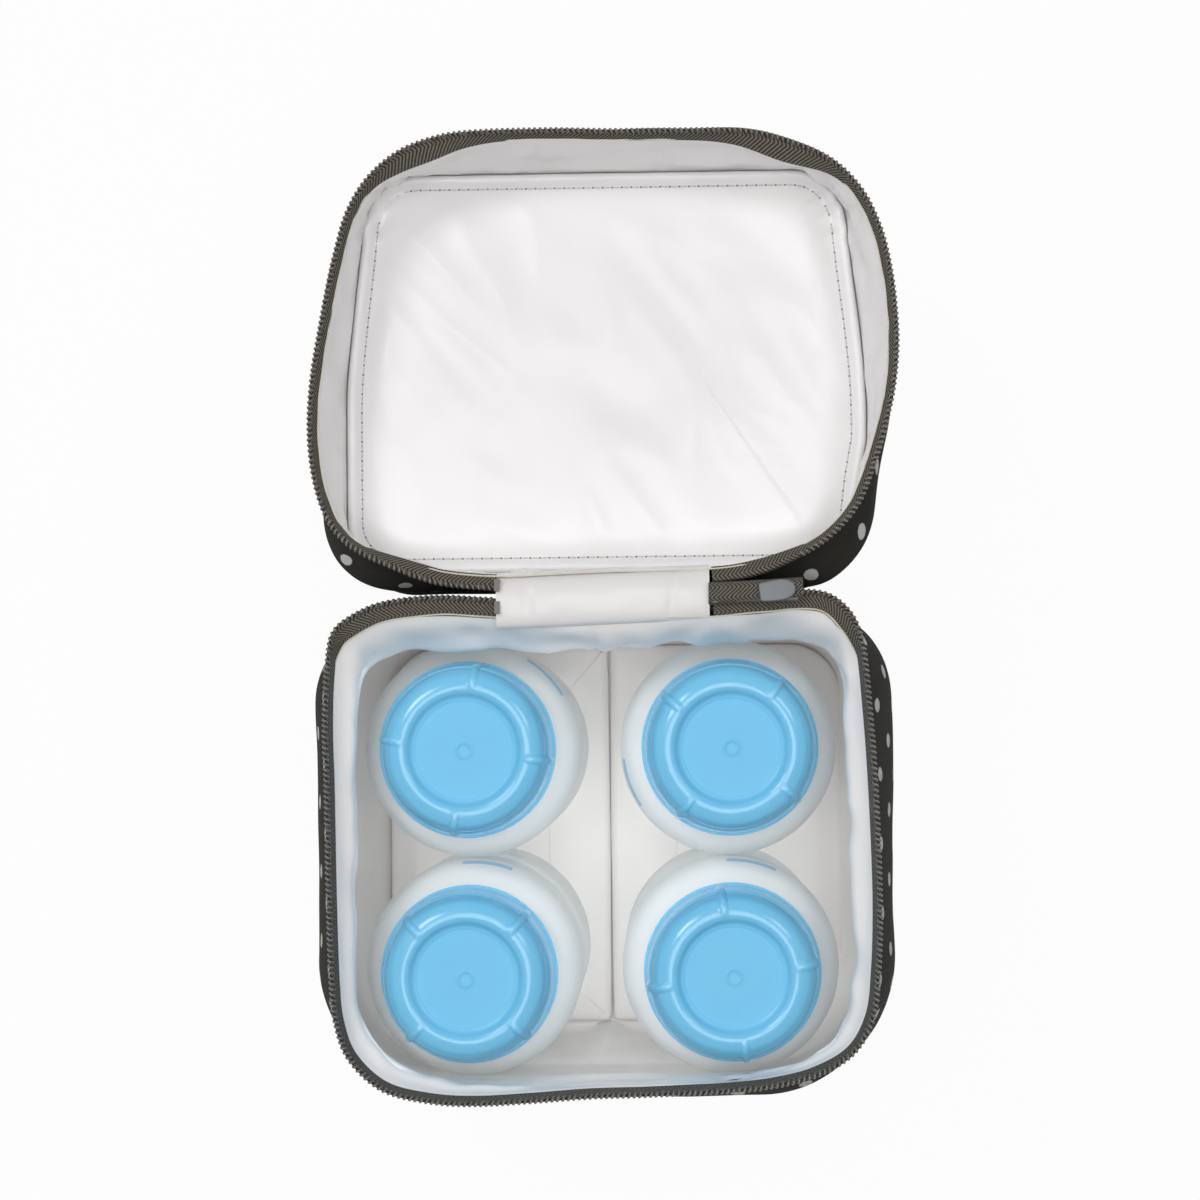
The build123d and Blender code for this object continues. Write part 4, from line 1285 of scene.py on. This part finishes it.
# Zip tape and coil of the lid, as on the bag; the tape shows wider where the lining
# pulls away from it at the far corners.
def lid_tape_keep(p):
    """All round the lid's rim except at the hinge."""
    return not (p.y < 85 * mm and hinge_left < p.x < hinge_right)


fine_lid = smooth_line(lid_corners, fine_count)
lid_run = fine_run(inset_line(fine_lid, tape_inset), lid_tape_keep, tape_count)
lid_tape_width = [3.0 + 3.3 * pulled_away(p) for p in lid_run]
lid_tape_drop = [2.3 - 0.4 * pulled_away(p) for p in lid_run]
lid_tape = tape_fold("lid_tape", lid_run, -1, lid_tape_width, lid_tape_drop, tape_foot)
lid_tape.data.materials.append(herringbone)
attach(lid_tape, "lid")
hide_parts("lid_zip_tape")
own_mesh(lid_tape)


def lid_coil_keep(p):
    """All round the lid's rim except from the hinge's left end to the slider."""
    return not (p.y < 85 * mm and coil_left < p.x < coil_right)


lid_coil_run = fine_run(inset_line(fine_lid, coil_inset), lid_coil_keep, coil_count)
lid_coil = coil_along("lid_coil", lid_coil_run, 1, coil_height)
lid_coil.data.materials.append(nylon)
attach(lid_coil, "lid")
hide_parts("lid_zip_coil")
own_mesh(lid_coil)


# Hinge: one strip of the white film across the fold, stitched to the bag and the lid
# between the zip's two ends, with a crease near each end.
hinge_profile = [
    (60.5, 124.9), (60.8, 125.6), (61.3, 126.2), (62.1, 126.7), (63.2, 127.1), (64.6, 127.4),
    (66.3, 127.65), (67.97, 127.75), (69.4, 127.65), (70.8, 127.35), (72.1, 126.8), (73.2, 125.9),
    (74.1, 124.6), (74.7, 123.0), (75.1, 121.0),
]
hinge_rings = []
for index, (y, z) in enumerate(hinge_profile):
    loose = math.sin(math.pi * index / (len(hinge_profile) - 1))
    row = []
    for step in range(57):
        x = -28.3 + 55.0 * step / 56
        folds = hump(x + 20.3 + 0.12 * (y - 68), 0.0, 0.9) + hump(x - 17.2 - 0.10 * (y - 68), 0.0, 0.9)
        lift = 0.45 * ripple((x * mm, y * mm, 0.0), 8 * mm, 6.6) * loose
        row.append(Vector((x * mm, (y + 0.035 * x) * mm, (z + lift - 0.35 * folds * loose) * mm)))
    hinge_rings.append(row)
hinge_web = draw_out("hinge_web", hinge_rings, closed=False)
thicken(hinge_web, 0.5 * mm, -1.0, angle=60)
# A darker, greyer copy of the lid's white film: painted shade where the strip lies in the fold.
hinge_film_painted_shade = film("hinge_film_painted_shade", (0.80, 0.775, 0.77), 1.0)
hinge_web.data.materials.append(hinge_film_painted_shade)
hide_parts("base_hinge_web", "lid_hinge_web")
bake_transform(hinge_web)


# Closed end of the zip, between the hinge and the slider: the two tapes meet over the
# chain, so from inside only a band of herringbone shows.
band_section = [
    (-2.9, 1.9), (-2.6, 1.0), (-2.0, 0.25), (-1.0, -0.05), (0.0, -0.1), (1.0, -0.05), (2.0, 0.25),
    (2.5, 0.9), (2.75, 1.7),
]
band_left, band_length = 26.4, 24.2
band_rings = []
for across, drop in band_section:
    row = []
    for index in range(45):
        x = band_left + band_length * index / 44
        rise = 0.2 + 1.1 * ((x - band_left) / band_length) ** 1.3
        bumpy = 0.16 * ripple((x * mm, across * mm, 0.0), 4 * mm, 3.7)
        row.append(Vector((x * mm, (67.97 + across + rise) * mm, (130.15 - drop + bumpy) * mm)))
    band_rings.append(row)
zip_band = draw_out("zip_band", band_rings, closed=False)
thicken(zip_band, tape_thickness, -1.0, angle=50)
zip_band.data.materials.append(herringbone)
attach(zip_band, "chain")


# The chain under that band and the bottom stops by the hinge's left end: dark nylon, the
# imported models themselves.
chain_nylon = speckled("chain_nylon", 900.0, 2.0, (0.050, 0.042, 0.034), (0.115, 0.100, 0.080), 0.35)[0]
for node in ("zip_chain", "base_zip_stop", "lid_zip_stop"):
    dress(node, chain_nylon)


# Slider of the zip: two small dark metal plates joined at the nose, seen from inside;
# its edges are rounded and its ends taper.
slider_x, slider_y = 44.0, 68.6
plate_corners = 96


def slider_plate(low, high, swell):
    """One plate of the slider with rounded edges, between two heights."""
    outline = [
        (-4.7, -1.9), (-4.2, -2.45), (-1.5, -2.7), (1.2, -2.75), (3.2, -2.3), (4.4, -1.3), (4.75, -0.2),
    ]
    outline += [(x, -y) for x, y in outline[::-1]]
    turn = math.radians(7.0)
    points = []
    for x, y in outline:
        y *= swell
        along = slider_x + x * math.cos(turn) - y * math.sin(turn)
        across = slider_y + x * math.sin(turn) + y * math.cos(turn)
        points.append((along * mm, across * mm, 0.0))
    ring = even_line(points, plate_corners)
    ring.reverse()
    edge = ((0.5, 0.0), (0.25, 0.03), (0.1, 0.1), (0.0, 0.3))
    levels = [(inset, low + step) for inset, step in edge]
    levels += [(inset, high - step) for inset, step in edge[::-1]]
    return [at_height(inset_line(ring, inset * mm), z * mm) for inset, z in levels]


slider_pieces = []
for low, high, swell in ((130.35, 131.35, 1.0), (123.9, 125.3, 1.15)):
    plate_rings = slider_plate(low, high, swell)
    plate = draw_out("slider_plate", plate_rings)
    close_both(plate, plate_corners, len(plate_rings))
    tidy_faces(plate)
    slider_pieces.append(plate)
bpy.ops.object.select_all(action="DESELECT")
bpy.ops.mesh.primitive_cube_add(size=1.0, location=(46.2 * mm, 68.8 * mm, 127.8 * mm))
post = bpy.context.active_object
post.scale = (2.6 * mm, 1.4 * mm, 5.6 * mm)
bpy.ops.object.transform_apply(location=True, rotation=True, scale=True)
soft = post.modifiers.new("soft", "BEVEL")
soft.width = 0.3 * mm
soft.segments = 2
bpy.ops.object.modifier_apply(modifier="soft")
slider_pieces.append(post)
take_up(*slider_pieces)
bpy.ops.object.join()
zip_slider = bpy.context.active_object
zip_slider.name = "zip_slider_body"
bpy.ops.object.shade_smooth_by_angle(angle=math.radians(40))
gunmetal, tree, shader, smear = speckled(
    "gunmetal", 260.0, 3.0, (0.085, 0.093, 0.097), (0.15, 0.16, 0.165), 0.5,
)
shader.inputs["Metallic"].default_value = 0.6
rough = add_node(tree, "ShaderNodeMapRange", {"Value": smear, "To Min": 0.42, "To Max": 0.60})
tree.links.new(rough.outputs["Result"], shader.inputs["Roughness"])
zip_slider.data.materials.clear()
zip_slider.data.materials.append(gunmetal)
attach(zip_slider, "slider")
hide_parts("zip_slider")
dress("slider_pull", gunmetal)


# Carrying handle of the lid: a flat black webbing strap, sewn flat at both ends; it
# hangs under the open lid and stands up over the closed one.
strap_end, strap_sewn, strap_low = 66.0, 89.98, 65.98
strap_half = [(-strap_end, strap_sewn), (-46.0, strap_sewn), (-38.0, strap_low)]
strap_line = [Vector((x, 0.0, z)) for x, z in strap_half + [(-x, z) for x, z in strap_half[::-1]]]
strap_bend = 9.0
strap_middle = 134.34
strap_path = [strap_line[0]]
for a, b, c in zip(strap_line, strap_line[1:], strap_line[2:]):
    into, out = (b - a).normalized(), (c - b).normalized()
    reach = strap_bend * math.tan(into.angle(out) / 2)
    first, last = b - into * reach, b + out * reach
    for step in range(9):
        t = step / 8
        strap_path.append((1 - t) ** 2 * first + 2 * t * (1 - t) * b + t**2 * last)
strap_path.append(strap_line[-1])
strap_path = even_line([p * mm for p in strap_path], 150, closed=False)
strap_rings = []
section = [
    (-12.5, 0.0), (-12.4, 0.45), (-12.0, 0.7), (-11.2, 0.78), (-6.0, 0.8), (0.0, 0.82), (6.0, 0.8),
    (11.2, 0.78), (12.0, 0.7), (12.4, 0.45),
]
section += [(-y, -up) for y, up in section]
for y, up in section + section[:1]:
    row = []
    for index, p in enumerate(strap_path):
        after = strap_path[min(index + 1, len(strap_path) - 1)]
        along = (after - strap_path[max(index - 1, 0)]).normalized()
        across = Vector((-along.z, 0.0, along.x))
        row.append(p + across * up * mm + Vector((0.0, (strap_middle + y) * mm, 0.0)))
    strap_rings.append(row)
lid_handle = draw_out("lid_handle", strap_rings, closed=False, joined=True)
bpy.ops.object.shade_smooth_by_angle(angle=math.radians(50))
webbing, tree, shader = new_material("black_webbing")
flat = add_node(tree, "ShaderNodeTexCoord").outputs["UV"]
parts = add_node(tree, "ShaderNodeSeparateXYZ", {0: flat})
column = count_up(tree, "PINGPONG", parts.outputs["Y"], 2.1 * mm)
slant = count_up(tree, "MULTIPLY_ADD", column, 1.2, parts.outputs["X"])
ridge = count_up(tree, "SINE", count_up(tree, "MULTIPLY", slant, 2 * math.pi / (1.1 * mm)))
woven = {"Value": ridge, "From Min": -0.8, "From Max": 0.8}
ridge = add_node(tree, "ShaderNodeMapRange", woven).outputs[0]
tinted(tree, shader, ridge, (0.010, 0.010, 0.009), (0.050, 0.048, 0.043))
shader.inputs["Roughness"].default_value = 0.8
raised(tree, shader, ridge, 0.6, 0.2 * mm)
lid_handle.data.materials.append(webbing)
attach(lid_handle, "lid")
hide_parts("handle_strap")


# Bar tacks of the handle: dark thread in two rows of tight stitches across each sewn
# end, through the strap and the cover.
tack_height = 89.05 * mm
tack_pitch = 0.75 * mm
tacks = []
for side in (-1, 1):
    for back in (2.5, 13.0):
        x = side * (66 - back) * mm
        row = [Vector((x, (124.6 + 19.5 * step / 30) * mm, 0.0)) for step in range(31)]
        tacks.append(stitch_row("handle_tacks", row, tack_height, tack_pitch))
take_up(*tacks)
bpy.ops.object.join()
handle_tacks = bpy.context.active_object
dark_thread, tree, shader = new_material("dark_thread")
place = add_node(tree, "ShaderNodeTexCoord").outputs["Object"]
ply = add_node(tree, "ShaderNodeTexWave", {"Vector": place, "Scale": 1400.0, "Distortion": 2.0})
tinted(tree, shader, ply.outputs["Fac"], (0.020, 0.020, 0.018), (0.075, 0.072, 0.066))
shader.inputs["Roughness"].default_value = 0.6
handle_tacks.data.materials.append(dark_thread)
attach(handle_tacks, "lid")
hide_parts("handle_stitching")


# Bottles: frosted white plastic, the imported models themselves, with a faint printed
# scale of plain pale blue strokes on one side of each.
scale_turns = {"bottle_1": 44.0, "bottle_2": 200.0, "bottle_3": 82.0, "bottle_4": 78.0}
scale_low, scale_high = 26.0 * mm, 88.0 * mm
stroke_spacing = 10.0 * mm
stroke_half_height = 1.1 * mm
stroke_half_angle = 0.24
translucent_share = 0.38
clear_share = 0.22
for name, facing in scale_turns.items():
    low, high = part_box(name)
    foot = ((low.x + high.x) / 2, (low.y + high.y) / 2, low.z)
    frosted, tree, shader = new_material("frosted_" + name)
    place = add_node(tree, "ShaderNodeTexCoord").outputs["Object"]
    centred = add_node(tree, "ShaderNodeVectorMath", {0: place, 1: foot}, operation="SUBTRACT")
    turned = add_node(
        tree, "ShaderNodeVectorRotate",
        {"Vector": centred.outputs[0], "Angle": math.radians(-facing)}, rotation_type="Z_AXIS",
    )
    parts = add_node(tree, "ShaderNodeSeparateXYZ", {0: turned.outputs[0]})
    angle = count_up(tree, "ARCTAN2", parts.outputs["Y"], parts.outputs["X"])
    wide = count_up(tree, "LESS_THAN", count_up(tree, "ABSOLUTE", angle), stroke_half_angle)
    shifted_height = count_up(tree, "ADD", parts.outputs["Z"], 7.5 * mm)
    stripe = count_up(tree, "PINGPONG", shifted_height, stroke_spacing / 2)
    stroke = count_up(tree, "LESS_THAN", stripe, stroke_half_height)
    above = count_up(tree, "GREATER_THAN", parts.outputs["Z"], scale_low)
    below = count_up(tree, "LESS_THAN", parts.outputs["Z"], scale_high)
    ink = count_up(tree, "MULTIPLY", wide, stroke)
    ink = count_up(tree, "MULTIPLY", ink, count_up(tree, "MULTIPLY", above, below))
    cloud = add_node(tree, "ShaderNodeTexNoise", {"Vector": place, "Scale": 55.0, "Detail": 3.0})
    milk = mixed(tree, cloud.outputs["Fac"], (0.90, 0.92, 0.92), (0.96, 0.97, 0.97))
    tinted(tree, shader, ink, milk, (0.16, 0.50, 0.82))
    shader.inputs["Roughness"].default_value = 0.30
    shader.inputs["Subsurface Weight"].default_value = 0.25
    shader.inputs["Subsurface Radius"].default_value = (0.006, 0.006, 0.006)
    through = add_node(tree, "ShaderNodeBsdfTranslucent", {"Color": (0.88, 0.90, 0.90, 1.0)})
    clear = add_node(tree, "ShaderNodeBsdfTransparent", {"Color": (0.96, 0.965, 0.965, 1.0)})
    surface = shader.outputs[0]
    shadow = add_node(tree, "ShaderNodeLightPath").outputs["Is Shadow Ray"]
    for share, other in ((translucent_share, through), (clear_share, clear), (shadow, clear)):
        both = {0: share, 1: surface, 2: other.outputs[0]}
        surface = add_node(tree, "ShaderNodeMixShader", both).outputs[0]
    shown = next(node for node in tree.nodes if node.type == "OUTPUT_MATERIAL")
    tree.links.new(surface, shown.inputs["Surface"])
    dress(name, frosted)


# Seals: soft white silicone discs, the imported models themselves, each held between a
# cap and its bottle's neck.
silicone, tree, shader, cloud = speckled(
    "white_silicone", 120.0, 2.0, (0.70, 0.71, 0.70), (0.80, 0.81, 0.80), 0.5,
)
shader.inputs["Subsurface Weight"].default_value = 0.2
shader.inputs["Subsurface Radius"].default_value = (0.003, 0.003, 0.003)
for number in (1, 2, 3, 4):
    dress("bottle_seal_%d" % number, silicone)


# Caps: sky blue glossy plastic. A rounded ring slopes to a sunken disc with a small
# moulding ring at its middle; the skirt flares to a band, and four soft ribs run over
# the edge. Turned on each bottle as it was left.
# radius, height, and how far the ribs stand out there
cap_profile = [
    (0.9, 111.0, 0), (10.0, 111.0, 0), (19.2, 111.0, 0), (20.2, 110.8, 0), (20.6, 110.2, 0),
    (20.6, 97.4, 0), (20.9, 97.05, 0), (21.4, 97.0, 0), (22.8, 97.0, 0), (23.15, 97.12, 0),
    (23.3, 97.45, 0), (23.3, 99.6, 0), (23.2, 99.95, 0), (22.95, 100.2, 0.1), (22.75, 100.6, 0.5),
    (22.65, 101.4, 0.9), (22.5, 103.2, 1), (22.25, 105.6, 1), (22.0, 107.6, 1), (21.88, 108.7, 1),
    (21.78, 109.0, 1), (21.5, 109.12, 1), (21.36, 109.4, 1), (21.3, 110.0, 1), (21.12, 110.9, 1),
    (20.8, 111.8, 1), (20.4, 112.65, 1), (19.85, 113.35, 1), (19.1, 113.95, 0.95),
    (18.2, 114.42, 0.8), (17.3, 114.72, 0.45), (16.4, 114.86, 0.12), (15.7, 114.82, 0),
    (15.1, 114.58, 0), (14.65, 114.2, 0), (14.3, 113.75, 0), (13.95, 113.3, 0), (13.6, 113.0, 0),
    (13.2, 112.80, 0), (12.9, 112.76, 0), (12.75, 112.64, 0), (12.5, 112.60, 0), (11.0, 112.60, 0),
    (7.0, 112.62, 0), (3.2, 112.62, 0), (2.35, 112.62, 0), (2.15, 112.74, 0), (2.0, 112.84, 0),
    (1.8, 112.84, 0), (1.62, 112.70, 0), (1.35, 112.52, 0), (0.8, 112.46, 0), (0.4, 112.5, 0),
]
cap_blue, tree, shader = new_material("sky_blue_plastic")
place = add_node(tree, "ShaderNodeTexCoord").outputs["Object"]
cloud = add_node(tree, "ShaderNodeTexNoise", {"Vector": place, "Scale": 70.0, "Detail": 3.0})
tinted(tree, shader, cloud.outputs["Fac"], (0.160, 0.550, 0.840), (0.195, 0.590, 0.870))
flat = add_node(tree, "ShaderNodeTexCoord").outputs["UV"]
parts = add_node(tree, "ShaderNodeSeparateXYZ", {0: flat})
rim_end = cap_profile.index((13.2, 112.80, 0))
to_disc = cap_profile[: rim_end + 1]
disc_start = sum(math.dist(a[:2], b[:2]) for a, b in zip(to_disc, to_disc[1:])) * mm
matt_disc = add_node(
    tree, "ShaderNodeMapRange",
    {
        "Value": parts.outputs["Y"], "From Min": disc_start, "From Max": disc_start + 0.5 * mm,
        "To Min": 0.13, "To Max": 0.55,
    },
)
haze = count_up(tree, "MULTIPLY_ADD", cloud.outputs["Fac"], 0.10, matt_disc.outputs["Result"])
tree.links.new(haze, shader.inputs["Roughness"])
shader.inputs["Specular IOR Level"].default_value = 0.50
shader.inputs["Subsurface Weight"].default_value = 0.30
shader.inputs["Subsurface Radius"].default_value = (0.0012, 0.0025, 0.0040)
skin = add_node(tree, "ShaderNodeTexNoise", {"Vector": place, "Scale": 420.0, "Detail": 2.0})
raised(tree, shader, skin.outputs["Fac"], 0.12, 0.25 * mm)
half_quarter = (0.0, 0.7, 1.3, 1.9, 2.5, 3.2, 4.0, 5.2, 7.0, 10.0, 14.0, 19.0, 25.0, 31.0, 38.0, 45.0)
offsets = [-angle for angle in half_quarter[-2:0:-1]] + list(half_quarter)
swings = [(quarter * 90.0 + offset, offset) for quarter in range(4) for offset in offsets]
rib_height = 0.75
rib_half_width = 1.15
cap_angles = (-8.0, 52.0, 46.0, 8.0)
for number in (1, 2, 3, 4):
    bottle_low, bottle_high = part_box("bottle_%d" % number)
    middle = (bottle_low + bottle_high) / 2
    cap_rings = []
    for index, (radius, height, share) in enumerate(cap_profile):
        before = cap_profile[max(index - 1, 0)]
        after = cap_profile[min(index + 1, len(cap_profile) - 1)]
        slope = Vector((after[0] - before[0], after[1] - before[1])).normalized()
        ring = []
        for swing, offset in swings:
            away = radius * math.radians(abs(offset))
            bump = rib_height * share * max(1 - (away / rib_half_width) ** 2, 0.0) ** 0.7
            r = radius + slope.y * bump
            z = bottle_low.z + (height - slope.x * bump) * mm
            angle = math.radians(swing + cap_angles[number - 1])
            x, y = middle.x + r * mm * math.cos(angle), middle.y + r * mm * math.sin(angle)
            ring.append(Vector((x, y, z)))
        cap_rings.append(ring)
    cap = draw_out("cap_%d_blue" % number, cap_rings)
    close_both(cap, len(swings), len(cap_rings))
    tidy_faces(cap)
    bpy.ops.object.shade_smooth_by_angle(angle=math.radians(45))
    cap.data.materials.append(cap_blue)
    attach(cap, "cap_%d" % number)
    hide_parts("bottle_cap_%d" % number)
